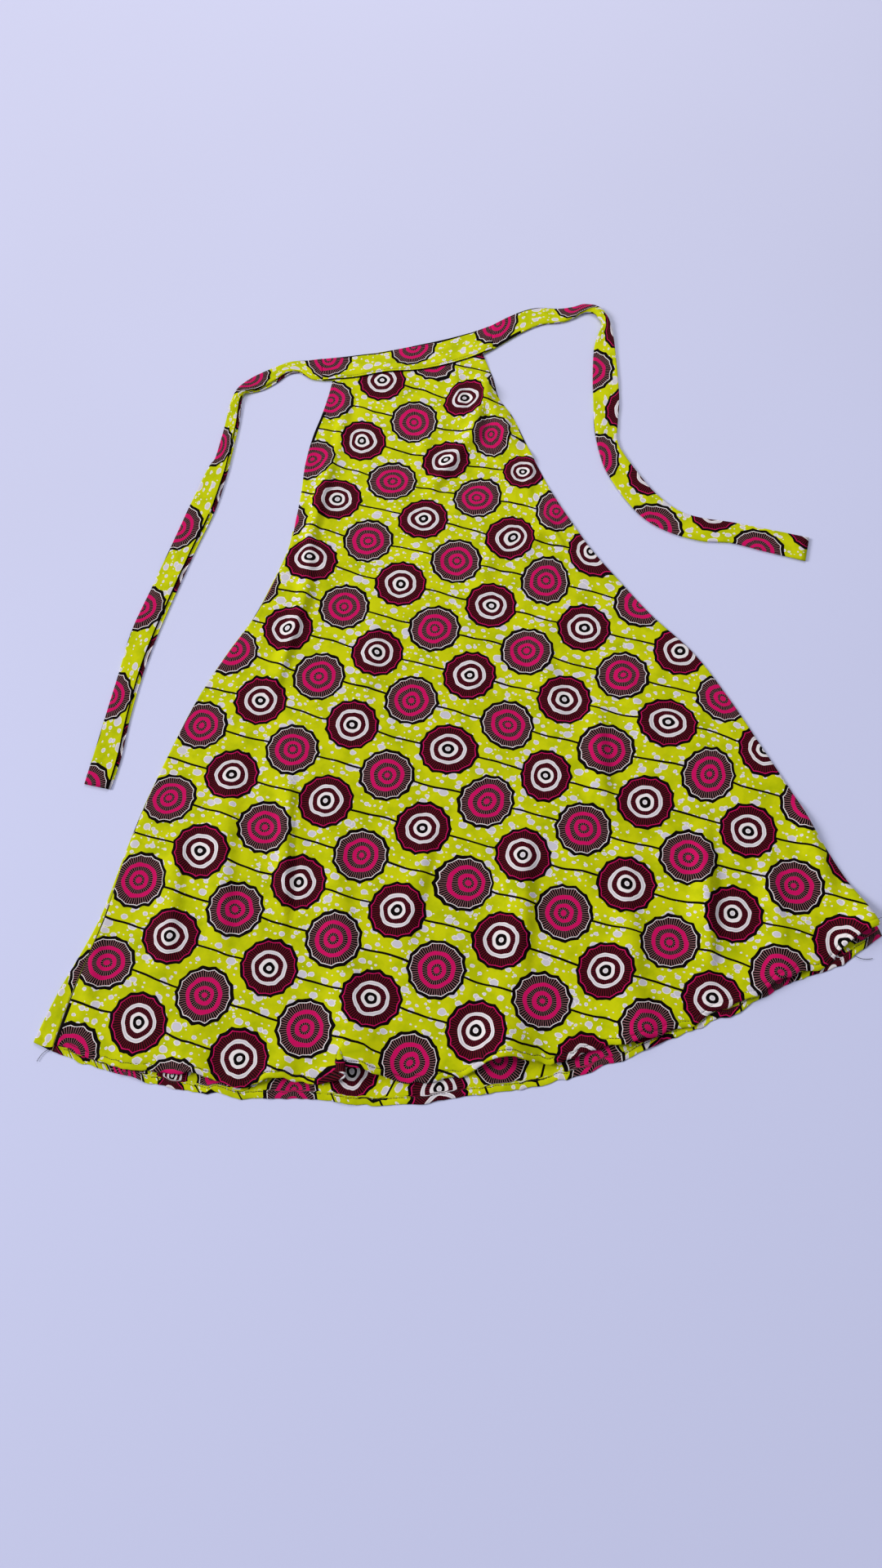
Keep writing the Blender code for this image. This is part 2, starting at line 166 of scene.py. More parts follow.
# Folds in the front, each along a line from its top to its bottom, with its own width to the left
# and to the right of that line: a narrow side is a crease. The first seven run along the solid's
# folds, and the solid has none of the others.
Fold = namedtuple("Fold", "top_x top_y low_x low_y left right height")
FOLDS = [
    Fold(0.098, 1.052, 0.156, 0.860, 0.017, 0.017, 0.0058),
    Fold(0.070, 1.046, 0.080, 0.930, 0.014, 0.014, 0.0039),
    Fold(-0.085, 1.040, -0.110, 0.900, 0.015, 0.015, 0.0031),
    Fold(-0.165, 0.790, -0.110, 0.700, 0.014, 0.014, 0.0028),
    Fold(0.200, 0.780, 0.130, 0.700, 0.016, 0.016, 0.0031),
    Fold(-0.182, 0.400, -0.168, 0.250, 0.010, 0.017, 0.0022),
    Fold(0.330, 0.330, 0.300, 0.180, 0.020, 0.016, 0.0028),
    Fold(0.118, 1.024, 0.082, 0.885, 0.024, 0.014, 0.0076),
    Fold(0.098, 0.935, 0.012, 0.815, 0.020, 0.013, 0.0064),
    Fold(-0.110, 0.925, -0.156, 0.740, 0.020, 0.012, 0.0062),
    Fold(-0.146, 0.790, -0.164, 0.640, 0.020, 0.014, 0.0049),
    Fold(-0.150, 0.700, -0.208, 0.520, 0.020, 0.011, 0.0064),
    Fold(-0.181, 0.430, -0.193, 0.190, 0.024, 0.005, 0.0064),
    Fold(0.328, 0.290, 0.299, 0.100, 0.028, 0.010, 0.0080),
    Fold(0.110, 0.320, 0.082, 0.120, 0.040, 0.018, 0.0076),
    Fold(0.214, 0.490, 0.205, 0.310, 0.028, 0.015, 0.0049),
    Fold(-0.258, 0.430, -0.274, 0.170, 0.030, 0.020, 0.0053),
    Fold(-0.322, 0.350, -0.340, 0.150, 0.028, 0.016, 0.0050),
    Fold(-0.006, 0.340, -0.050, 0.180, 0.030, 0.017, 0.0053),
    Fold(0.440, 0.330, 0.462, 0.180, 0.022, 0.014, 0.0056),
    Fold(-0.036, 0.470, 0.022, 0.424, 0.012, 0.010, 0.0036),
    Fold(0.030, 0.545, 0.078, 0.494, 0.012, 0.012, 0.0036),
    Fold(-0.060, 0.650, -0.095, 0.470, 0.028, 0.021, 0.0028),
    Fold(0.150, 0.640, 0.165, 0.430, 0.030, 0.018, 0.0028),
    Fold(0.245, 0.560, 0.285, 0.380, 0.026, 0.016, 0.0028),
    Fold(0.040, 0.960, -0.010, 0.830, 0.020, 0.020, 0.0025),
    Fold(-0.020, 0.800, 0.030, 0.690, 0.022, 0.016, 0.0024),
    Fold(0.115, 0.760, 0.070, 0.640, 0.018, 0.020, 0.0025),
    Fold(-0.130, 0.330, -0.118, 0.080, 0.030, 0.023, 0.0035),
    Fold(0.225, 0.290, 0.212, 0.080, 0.028, 0.018, 0.0039),
    Fold(0.395, 0.280, 0.388, 0.130, 0.022, 0.015, 0.0035),
    Fold(-0.420, 0.270, -0.432, 0.110, 0.014, 0.015, 0.0022),
    Fold(0.124, 1.030, 0.116, 0.965, 0.012, 0.007, 0.0036),
    Fold(0.142, 0.965, 0.139, 0.900, 0.012, 0.007, 0.0034),
    Fold(0.176, 0.905, 0.158, 0.800, 0.014, 0.008, 0.0036),
    Fold(-0.166, 0.838, -0.118, 0.800, 0.007, 0.012, 0.0030),
    Fold(-0.172, 0.806, -0.116, 0.776, 0.007, 0.011, 0.0028),
    Fold(0.168, 0.790, 0.205, 0.700, 0.012, 0.007, 0.0030),
]

# The neck band's upper fold and lower edge, as heights at places across.
Band = namedtuple("Band", "x fold edge")
BANDS = [
    Band(-0.125, 1.0900, 1.0480),
    Band(-0.080, 1.0905, 1.0460),
    Band(-0.030, 1.0930, 1.0510),
    Band(0.020, 1.0990, 1.0490),
    Band(0.065, 1.1060, 1.0550),
    Band(0.100, 1.1135, 1.0640),
    Band(0.132, 1.1230, 1.0770),
]

# Sections of the ties from the band outwards: the outer and the inner edge, the height, how round
# the section is (0 for a flat strip, 1 for a roll), and how far the under layer shows at the inner
# edge.
Section = namedtuple("Section", "outer_x outer_y inner_x inner_y height round_ under")
LEFT_TIE = [
    Section(-0.1253, 1.0900, -0.1253, 1.0480, 0.0027, 0.0, 0.000),
    Section(-0.1500, 1.0895, -0.1430, 1.0535, 0.0028, 0.1, 0.000),
    Section(-0.1710, 1.0900, -0.1600, 1.0670, 0.0030, 0.2, 0.003),
    Section(-0.1900, 1.0845, -0.1780, 1.0660, 0.0034, 0.3, 0.004),
    Section(-0.2090, 1.0770, -0.1950, 1.0530, 0.0034, 0.3, 0.005),
    Section(-0.2320, 1.0660, -0.2150, 1.0420, 0.0036, 0.4, 0.004),
    Section(-0.2460, 1.0550, -0.2340, 1.0380, 0.0050, 0.7, 0.002),
    Section(-0.2550, 1.0450, -0.2430, 1.0370, 0.0066, 1.0, 0.000),
    Section(-0.2610, 1.0310, -0.2475, 1.0265, 0.0060, 0.9, 0.002),
    Section(-0.2670, 1.0120, -0.2490, 1.0080, 0.0042, 0.5, 0.004),
    Section(-0.2720, 0.9850, -0.2520, 0.9810, 0.0036, 0.3, 0.004),
    Section(-0.2790, 0.9530, -0.2580, 0.9490, 0.0036, 0.2, 0.004),
    Section(-0.2870, 0.9220, -0.2645, 0.9160, 0.0036, 0.2, 0.004),
    Section(-0.2970, 0.9060, -0.2680, 0.8980, 0.0034, 0.1, 0.004),
    Section(-0.3220, 0.8450, -0.2860, 0.8320, 0.0028, 0.0, 0.005),
    Section(-0.3480, 0.7770, -0.3130, 0.7670, 0.0027, 0.0, 0.005),
    Section(-0.3740, 0.7100, -0.3390, 0.7000, 0.0027, 0.0, 0.005),
    Section(-0.3990, 0.6450, -0.3630, 0.6350, 0.0027, 0.0, 0.005),
    Section(-0.4120, 0.5880, -0.3800, 0.5800, 0.0028, 0.1, 0.005),
    Section(-0.4280, 0.5210, -0.3950, 0.5150, 0.0027, 0.0, 0.004),
    Section(-0.4410, 0.4660, -0.4040, 0.4600, 0.0027, 0.0, 0.004),
    Section(-0.4510, 0.4260, -0.4160, 0.4150, 0.0027, 0.0, 0.003),
]
RIGHT_TIE = [
    Section(0.1323, 1.1230, 0.1323, 1.0770, 0.0027, 0.0, 0.000),
    Section(0.1700, 1.1410, 0.1720, 1.1010, 0.0028, 0.1, 0.000),
    Section(0.2030, 1.1490, 0.2070, 1.1155, 0.0030, 0.2, 0.000),
    Section(0.2360, 1.1430, 0.2370, 1.1165, 0.0034, 0.3, 0.000),
    Section(0.2570, 1.1430, 0.2550, 1.1210, 0.0042, 0.6, 0.000),
    Section(0.2770, 1.1460, 0.2730, 1.1300, 0.0056, 0.9, 0.000),
    Section(0.2950, 1.1400, 0.2870, 1.1280, 0.0066, 1.0, 0.000),
    Section(0.3060, 1.1250, 0.2940, 1.1180, 0.0070, 1.0, 0.000),
    Section(0.3110, 1.1070, 0.2980, 1.1040, 0.0062, 0.9, 0.000),
    Section(0.3125, 1.0860, 0.2890, 1.0820, 0.0046, 0.5, 0.000),
    Section(0.3125, 1.0620, 0.2810, 1.0590, 0.0034, 0.2, 0.002),
    Section(0.3100, 1.0100, 0.2730, 1.0080, 0.0028, 0.0, 0.003),
    Section(0.3060, 0.9600, 0.2680, 0.9580, 0.0027, 0.0, 0.003),
    Section(0.2990, 0.9220, 0.2640, 0.9120, 0.0028, 0.1, 0.003),
    Section(0.2940, 0.8880, 0.2660, 0.8700, 0.0032, 0.2, 0.003),
    Section(0.3020, 0.8600, 0.2720, 0.8360, 0.0030, 0.2, 0.003),
    Section(0.3260, 0.8080, 0.2910, 0.7890, 0.0028, 0.1, 0.003),
    Section(0.3450, 0.7790, 0.3140, 0.7520, 0.0028, 0.1, 0.003),
    Section(0.3670, 0.7570, 0.3460, 0.7260, 0.0028, 0.1, 0.003),
    Section(0.3950, 0.7440, 0.3860, 0.7080, 0.0028, 0.1, 0.003),
    Section(0.4300, 0.7340, 0.4240, 0.7010, 0.0028, 0.1, 0.003),
    Section(0.4780, 0.7170, 0.4640, 0.6840, 0.0028, 0.0, 0.003),
    Section(0.5290, 0.6980, 0.5170, 0.6620, 0.0027, 0.0, 0.003),
]

# Where the pink discs come along each strip, from the neck out: arc length and disc number.
Mark = namedtuple("Mark", "arc disc")
LEFT_MARKS = [
    Mark(0.000, 0.08),
    Mark(0.113, 1.0),
    Mark(0.240, 2.0),
    Mark(0.390, 3.0),
    Mark(0.524, 4.0),
    Mark(0.660, 5.0),
    Mark(0.790, 6.0),
]
RIGHT_MARKS = [
    Mark(0.000, 1.90),
    Mark(0.014, 2.0),
    Mark(0.145, 3.0),
    Mark(0.290, 4.0),
    Mark(0.440, 5.0),
    Mark(0.570, 6.0),
    Mark(0.707, 7.0),
    Mark(0.800, 7.7),
]
RIGHT_TURNS = 0.175  # this far along, the right tie has turned over and shows its other face

# Lengths of each tie over which its open edge is painted with a row line's black, and how many faces wide:
# the dark topstitching, with painted shade in the gap under that edge.
LEFT_THREAD_AND_SHADE = [(0.145, 0.345), (0.352, 0.840)]
LEFT_THREAD_AND_SHADE_FACES = 2
RIGHT_THREAD_AND_SHADE = [(0.0, 0.045)]
RIGHT_THREAD_AND_SHADE_FACES = 3

# Camera, from the perspective of the print's even lattice in the photograph.
IMAGE_HEIGHT = 1920  # pixels
FOCAL = 1300  # pixels
SENSOR = 36.0  # millimetres
CAMERA_AT = (0.0258, -0.6887, 1.2421)
CAMERA_AIM = (-0.0116, -0.1900, 0.0)
CAMERA_ROLL = radians(4.153)


def linear(hex_colour):
    """An sRGB hex colour as linear red, green, blue and alpha."""
    shares = [int(hex_colour[k : k + 2], 16) / 255 for k in (0, 2, 4)]
    return [c / 12.92 if c <= 0.04045 else ((c + 0.055) / 1.055) ** 2.4 for c in shares] + [1.0]


class DressSizes(bpy.types.PropertyGroup):
    """Sizes that a user would change."""

    cloth: bpy.props.FloatProperty(
        name="Cloth", description="Thickness of one layer", default=0.0005, unit="LENGTH"
    )
    hem_turn: bpy.props.FloatProperty(
        name="Hem turn-up", description="Depth of the turned hem", default=0.0085, unit="LENGTH"
    )
    disc: bpy.props.FloatProperty(
        name="Disc", description="Diameter of a printed disc", default=0.0728, unit="LENGTH"
    )
    stitch: bpy.props.FloatProperty(
        name="Stitch", description="Length of one stitch", default=0.0030, unit="LENGTH"
    )
    thread: bpy.props.FloatProperty(
        name="Thread", description="Thickness of the sewing thread", default=0.0008, unit="LENGTH"
    )


class DressColours(bpy.types.PropertyGroup):
    """Colours of the print, the thread and the surface below."""

    ground: bpy.props.FloatVectorProperty(
        name="Ground", description="Lime ground", subtype="COLOR", size=4, default=linear("CCD006")
    )
    shade: bpy.props.FloatVectorProperty(
        name="Deep ground", description="Darker patches", subtype="COLOR", size=4, default=linear("AEB900")
    )
    black: bpy.props.FloatVectorProperty(
        name="Black", description="Outlines and row lines", subtype="COLOR", size=4, default=linear("080203")
    )
    pink: bpy.props.FloatVectorProperty(
        name="Magenta", description="Pink rings", subtype="COLOR", size=4, default=linear("CC0E5F")
    )
    maroon: bpy.props.FloatVectorProperty(
        name="Maroon", description="Maroon rings", subtype="COLOR", size=4, default=linear("5D0B1E")
    )
    white: bpy.props.FloatVectorProperty(
        name="White", description="Undyed rings", subtype="COLOR", size=4, default=linear("EEE6E8")
    )
    bubble: bpy.props.FloatVectorProperty(
        name="Bubbles", description="Undyed bubbles", subtype="COLOR", size=4, default=linear("CFCAD4")
    )
    blush: bpy.props.FloatVectorProperty(
        name="Blush", description="Ticks in the pink discs", subtype="COLOR", size=4, default=linear("A87379")
    )
    thread: bpy.props.FloatVectorProperty(
        name="Thread", description="Sewing thread", subtype="COLOR", size=4, default=linear("101204")
    )
    surface: bpy.props.FloatVectorProperty(
        name="Surface", description="The floor below", subtype="COLOR", size=4, default=linear("CBCCE9")
    )
    # Painted light: the floor is painted paler and bluer on the viewer's side, to make up for the lamps'
    # falloff there and to give that side its cool light.
    surface_near: bpy.props.FloatVectorProperty(
        name="Near surface", description="The floor on the viewer's side", subtype="COLOR", size=4,
        default=linear("D5D8FB"),
    )


def smooth_line(rows, by, column):
    """A smooth curve through one column of a table, read at any value of the column by."""
    points = sorted((getattr(row, by), getattr(row, column)) for row in rows)
    at = [p[0] for p in points]
    values = [p[1] for p in points]
    steps = [(values[k + 1] - values[k]) / (at[k + 1] - at[k]) for k in range(len(at) - 1)]
    slopes = [steps[0]] + [(a + b) / 2 for a, b in zip(steps, steps[1:])] + [steps[-1]]

    def read(where):
        where = min(max(where, at[0]), at[-1])
        k = min(bisect_right(at, where) - 1, len(at) - 2)
        span = at[k + 1] - at[k]
        u = (where - at[k]) / span
        ends = values[k] * (1 + 2 * u) * (1 - u) ** 2 + values[k + 1] * (3 - 2 * u) * u * u
        return ends + span * (slopes[k] * u * (1 - u) ** 2 - slopes[k + 1] * (1 - u) * u * u)

    return read


left_edge = smooth_line(SIDES, "height", "left")
right_edge = smooth_line(SIDES, "height", "right")
wrap_width = smooth_line(WRAPS, "height", "width")
back_hem = smooth_line(HEMS, "x", "back")
front_hem = smooth_line(HEMS, "x", "front")
band_fold = smooth_line(BANDS, "x", "fold")
band_edge = smooth_line(BANDS, "x", "edge")


def ease(low, high, value):
    """0 below low, 1 above high, and smooth between them."""
    u = min(max((value - low) / (high - low), 0.0), 1.0)
    return u * u * (3 - 2 * u)


def mound(distance, half_width):
    """A soft ridge's height at a distance from its line, from 1 down to 0."""
    return cos(pi / 2 * distance / half_width) ** 2 if abs(distance) < half_width else 0.0


HEM_TRIES = 12  # steps that bring a line down a panel to its hem


def hem_height(hem, across):
    """The height at which a line that runs down a panel meets the hem, from its place across."""
    y = 0.0
    for _ in range(HEM_TRIES):
        y = hem(across(y))
    return y


def ripple_height(x, y):
    """How far the hem's ripples raise the front at a place."""
    above_hem = y - front_hem(x)
    return sum(
        r.height * mound(x - r.x, r.half_width) * (1 - ease(0.0, r.reach, above_hem))
        for r in RIPPLES
    )


def beside(line, x, y):
    """Where a place lies by a line: its share of the way down, and how far to the right."""
    run_x, run_y = line.low_x - line.top_x, line.low_y - line.top_y
    length = hypot(run_x, run_y)
    along = ((x - line.top_x) * run_x + (y - line.top_y) * run_y) / length**2
    aside = ((x - line.top_x) * -run_y + (y - line.top_y) * run_x) / length
    return along, aside


def fold_height(x, y):
    """How far the folds raise the front at a place."""
    total = 0.0
    for f in FOLDS:
        along, aside = beside(f, x, y)
        if 0 < along < 1:
            width = f.right if aside > 0 else f.left
            total += f.height * mound(aside, width) * 4 * along * (1 - along)  # highest in its middle
    return total


def front_face(x, y):
    """Height of the front's face: on the back, sunk to the floor at the chest, on the band."""
    below_band = band_edge(x) - y
    on_band = 1 - ease(NECK_SEAT, NECK_RISE, below_band)
    sunk = ease(CHEST_LOW, CHEST_HIGH, y) * (1 - on_band)
    folds = fold_height(x, y) * ease(NECK_SEAT, NECK_FOLDS_END, below_band)
    return LAYER + ON_BACK * (1 - sunk) + ripple_height(x, y) + folds


def front_print(x, y):
    """A place on the front in the print's frame, where a white-ringed disc lies at 0, 0."""
    x, y = x - WHITE_DISC[0], y - WHITE_DISC[1]
    turn_x, turn_y = cos(GRAIN_TURN), sin(GRAIN_TURN)
    return x * turn_x + y * turn_y, y * turn_x - x * turn_y


# Cloth, as it is modelled here: finer than the solids' wall, with its outer skin on theirs.
# Stations are the distances from an edge of the rows of faces nearest to it.
FACES_ACROSS = 230
FACES_DOWN = 172
SIDE_STATIONS = (0.0, 0.0006, 0.0014, 0.0026, 0.0045)
HEM_STATIONS = (0.0, 0.0006, 0.0015, 0.0035, 0.0060, 0.0066, 0.0072, 0.0080, 0.0100, 0.0140)
EDGE_ALONE = (0.0,)  # for an edge with no such rows
LOWEST_SKIN = 0.0006  # the shell's underside then stays clear of the floor

# The cloth's own relief near an edge: the hem with the groove of its stitching, and the turned side.
Relief = namedtuple("Relief", "distance height")
HEM_RELIEF = [
    Relief(0.0000, -0.0010),
    Relief(0.0006, -0.0001),
    Relief(0.0015, 0.0003),
    Relief(0.0035, 0.0005),
    Relief(0.0058, 0.0005),
    Relief(0.0066, 0.0000),
    Relief(0.0072, -0.0004),
    Relief(0.0080, 0.0001),
    Relief(0.0100, 0.0003),
    Relief(0.0140, 0.0000),
]
SIDE_RELIEF = [
    Relief(0.0000, -0.0014),
    Relief(0.0006, -0.0008),
    Relief(0.0014, -0.0003),
    Relief(0.0026, -0.0001),
    Relief(0.0045, 0.0000),
]
hem_relief = smooth_line(HEM_RELIEF, "distance", "height")
side_relief = smooth_line(SIDE_RELIEF, "distance", "height")

# Lengths of the front's side edges along which a narrow rim shows the black of a row line.
Rim = namedtuple("Rim", "left low high width")
RIMS = [
    Rim(True, 0.937, 0.990, 0.0040),
    Rim(True, 0.925, 0.937, 0.0020),
    Rim(True, 0.130, 0.262, 0.0012),
    Rim(True, 0.092, 0.143, 0.0040),
    Rim(False, 0.985, 1.034, 0.0012),
    Rim(False, 0.900, 0.926, 0.0012),
]

# Where the cloth was pulled askew, the print moves with it, and a little everywhere.
Pull = namedtuple("Pull", "x y radius along_x along_y")
PULLS = [
    Pull(-0.135, 0.935, 0.075, 0.0130, -0.0020),
    Pull(0.012, 0.905, 0.160, 0.0030, -0.0095),
    Pull(0.190, 0.700, 0.090, -0.0020, 0.0070),
    Pull(-0.170, 0.730, 0.070, -0.0050, 0.0090),
    Pull(-0.250, 0.600, 0.070, 0.0060, 0.0050),
    Pull(0.325, 0.410, 0.100, 0.0110, 0.0040),
    Pull(0.225, 0.410, 0.070, 0.0050, 0.0000),
    Pull(0.080, 0.400, 0.090, 0.0080, 0.0000),
    Pull(0.032, 0.250, 0.060, 0.0090, 0.0000),
    Pull(-0.320, 0.350, 0.100, -0.0030, 0.0050),
    Pull(0.250, 0.080, 0.120, -0.0030, 0.0080),
    Pull(-0.400, 0.150, 0.100, 0.0020, 0.0060),
]

ASKEW = 0.0015
ASKEW_SIZE = 0.12
ASKEW_SEEDS = (11.3, 17.9)

# Folds that hide some cloth: to the right of the line the print comes nearer by that much.
Tuck = namedtuple("Tuck", "top_x top_y low_x low_y hidden_x hidden_y width")
TUCKS = [
    Tuck(0.080, 0.985, 0.240, 0.620, -0.0140, 0.0110, 0.085),
    Tuck(0.112, 1.040, 0.104, 0.940, -0.0070, 0.0020, 0.012),
]
TUCK_FADE = 0.18  # the share of a tuck's length over which it comes and goes

# Small folds beside a disc: past its middle, towards the fold, the print looks squeezed.
Squeeze = namedtuple("Squeeze", "x y reach towards share")
SQUEEZES = [
    Squeeze(0.082, 0.991, 0.064, radians(140), 0.34),
    Squeeze(0.082, 0.991, 0.058, radians(268), 0.18),
    Squeeze(0.153, 0.852, 0.064, radians(68), 0.40),
    Squeeze(0.153, 0.852, 0.060, radians(258), 0.34),
    Squeeze(0.118, 0.923, 0.056, radians(62), 0.24),
    Squeeze(0.150, 0.770, 0.052, radians(200), 0.22),
    Squeeze(-0.140, 0.850, 0.050, radians(160), 0.20),
]
SQUEEZE_CORE = 0.35  # the share of its reach within which a squeeze is full

# The skirt's soft long waves, which fan out from the neck and are lower there, and a fine crumple.
UNDULATION = 0.0016
WAVE_ACROSS = 0.045
WAVE_ALONG = 0.30
WAVE_SEED = 3.1
NECK_FAN = 0.35  # a wave's width by the neck, as a share of its width at the hem
WAVE_LOSS = 0.6  # the share of its height that it loses between these heights
WAVE_LOSS_FROM = 0.2
WAVE_LOSS_TO = 0.9
CRUMPLE = 0.0004
CRUMPLE_SIZE = 0.018
CRUMPLE_SEED = 7.7


def spread(step, steps, length, first, last):
    """How far along a length a step lies: its first and last few at set distances, the rest even."""
    if step < len(first):
        return first[step]
    if step > steps - len(last):
        return length - last[steps - step]
    even = steps - len(first) - len(last) + 2
    return first[-1] + (length - first[-1] - last[-1]) * (step - len(first) + 1) / even


def smooth_noise(x, y, size_x, size_y, seed):
    """Soft unevenness from about -1 to 1, in patches of a size. A seed picks one pattern of it."""
    return noise.noise(Vector((x / size_x, y / size_y, seed)))


def unevenness(x, y):
    """Soft long waves down the skirt, which grow lower towards the chest, and a fine crumple."""
    fan = x / (NECK_FAN + (1 - NECK_FAN) * ease(1.0, 0.0, y))
    share = 1 - WAVE_LOSS * ease(WAVE_LOSS_FROM, WAVE_LOSS_TO, y)
    waves = UNDULATION * share * smooth_noise(fan, y, WAVE_ACROSS, WAVE_ALONG, WAVE_SEED)
    return waves + CRUMPLE * smooth_noise(x, y, CRUMPLE_SIZE, CRUMPLE_SIZE, CRUMPLE_SEED)


def pulled(x, y):
    """A place on the cloth before it was pulled askew."""
    move_x, move_y = (ASKEW * smooth_noise(x, y, ASKEW_SIZE, ASKEW_SIZE, seed) for seed in ASKEW_SEEDS)
    for pull in PULLS:
        near = 1 - ease(0.0, 1.0, hypot(x - pull.x, y - pull.y) / pull.radius)
        move_x -= pull.along_x * near
        move_y -= pull.along_y * near
    for tuck in TUCKS:
        along, aside = beside(tuck, x, y)
        past = ease(-tuck.width / 2, tuck.width / 2, aside)
        past *= ease(0.0, TUCK_FADE, along) * (1 - ease(1 - TUCK_FADE, 1.0, along))
        move_x -= tuck.hidden_x * past
        move_y -= tuck.hidden_y * past
    for squeeze in SQUEEZES:
        from_x, from_y = x - squeeze.x, y - squeeze.y
        towards_x, towards_y = cos(squeeze.towards), sin(squeeze.towards)
        near = 1 - ease(SQUEEZE_CORE, 1.0, hypot(from_x, from_y) / squeeze.reach)
        moved = squeeze.share * max(from_x * towards_x + from_y * towards_y, 0.0) * near
        move_x += moved * towards_x
        move_y += moved * towards_y
    return x + move_x, y + move_y


# A hem's edge strays from its line in long bends and short ones, which fade out by the seams, and
# up the cloth.
Stray = namedtuple("Stray", "far size")
STRAYS = [
    Stray(0.0048, 0.026),
    Stray(0.0022, 0.010),
]
STRAY_LEFT = (-0.495, -0.440)
STRAY_RIGHT = (0.450, 0.505)
STRAY_REACH = 0.060
FRONT_STRAY_SEED = 41.0
BACK_STRAY_SEED = 61.0


def hem_stray(x, seed):
    """How far a hem's edge strays from its line, less so by the seams."""
    strays = sum(s.far * smooth_noise(x, 0.0, s.size, 1.0, seed) for s in STRAYS)
    return strays * ease(*STRAY_LEFT, x) * (1 - ease(*STRAY_RIGHT, x))


PUCKER = 0.0011
PUCKER_ACROSS = 0.0065
PUCKER_ALONG = 0.030
PUCKER_FADE = (0.010, 0.026)
FRONT_PUCKER_SEED = 31.0
BACK_PUCKER_SEED = 51.0


def hem_pucker(x, d, seed):
    """The small humps that the stitching draws up, at a distance from the hem's edge."""
    near = 1 - ease(*PUCKER_FADE, d)
    return near * PUCKER * smooth_noise(x, d, PUCKER_ACROSS, PUCKER_ALONG, seed)


LIFT_LEAST = 0.0012
LIFT_MORE = 0.0030
LIFT_SIZE = 0.034
LIFT_FADE = (0.004, 0.045)
LIFT_SEED = 21.5


def hem_lift(x, d):
    """How far the front's hem stands off the layer below it."""
    free = LIFT_LEAST + LIFT_MORE * max(smooth_noise(x, 0.0, LIFT_SIZE, 1.0, LIFT_SEED), 0.0)
    return free * (1 - ease(*LIFT_FADE, d))


# One place at the front's hem where the cloth laps over itself in a small S.
LAP_X = -0.130
LAP_HALF = 0.025
LAP_SHIFT = 0.0165
LAP_HEIGHT = 0.0050
LAP_REACH = 0.048  # above the hem
LAP_FULL = 0.2  # the share of its reach over which it is whole
LAP_TURN = 0.35  # the share of its half width at which the cloth turns back


def lapped(x, d):
    """The lap: where a point at x goes to, and how much it rises."""
    aside = x - LAP_X
    fade = 1 - ease(LAP_FULL * LAP_REACH, LAP_REACH, d)
    if abs(aside) > LAP_HALF or fade == 0:
        return x, 0.0
    turn = LAP_TURN * LAP_HALF
    rise = ease(-LAP_HALF, -turn, aside) * (1 - ease(-turn, turn, aside))
    return x - LAP_SHIFT * sin(pi * aside / LAP_HALF) * fade, LAP_HEIGHT * rise * fade


def cloth_sheet(name, columns, rows, place, turned_over=False, on_rim=None):
    """A grid laid out by a function that gives each point's place and its place in the print.

    Faces on a rim show only the black of a row line.
    """
    bm = bmesh.new()
    layer = bm.loops.layers.uv.new("cloth")
    bmesh.ops.create_grid(bm, x_segments=columns, y_segments=rows, size=1.0)
    bm.verts.index_update()
    printed = []
    for v in bm.verts:
        column = round(columns * (1 + v.co.x) / 2)
        row = round(rows * (1 + v.co.y) / 2)
        (x, y, z), in_print = place(column, row)
        v.co = (x - MIDDLE_X, y - MIDDLE_Y, z)
        printed.append(in_print)
    for face in bm.faces:
        middle = face.calc_center_median()
        dark = on_rim and on_rim(middle.x + MIDDLE_X, middle.y + MIDDLE_Y)
        for loop in face.loops:
            loop[layer].uv = ON_ROW_LINE if dark else printed[loop.vert.index]
    if turned_over:
        bmesh.ops.reverse_faces(bm, faces=bm.faces[:])
    return linked(name, bm)


def linked(name, bm):
    """A smooth shaded object made from a bmesh."""
    mesh = bpy.data.meshes.new(name)
    bm.to_mesh(mesh)
    bm.free()
    mesh.shade_smooth()
    piece = bpy.data.objects.new(name, mesh)
    bpy.context.scene.collection.objects.link(piece)
    return piece


def thicken(piece):
    """Cloth's own thickness, inwards from the outer skin."""
    shell = piece.modifiers.new("cloth", "SOLIDIFY")
    shell.thickness = bpy.context.scene.dress_sizes.cloth
    shell.offset = -1.0


def dress_piece(piece, node, material):
    """Gives a piece of cloth its thickness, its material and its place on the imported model."""
    piece.data.materials.append(material)
    thicken(piece)
    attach(piece, "root")
    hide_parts(node)


def front_rows():
    """For each column of the front, its lowest and highest points' heights and its line down."""
    spans = []
    neck_left, neck_right = left_edge(band_edge(BAND_LEFT)), right_edge(band_edge(BAND_RIGHT))
    for column in range(FACES_ACROSS + 1):

        def across(y, column=column):
            left, right = left_edge(y), right_edge(y)
            return left + spread(column, FACES_ACROSS, right - left, SIDE_STATIONS, SIDE_STATIONS)

        neck_x = neck_left + (neck_right - neck_left) * column / FACES_ACROSS
        spans.append((hem_height(front_hem, across), band_edge(neck_x) + EDGE_INSET, across))
    return spans


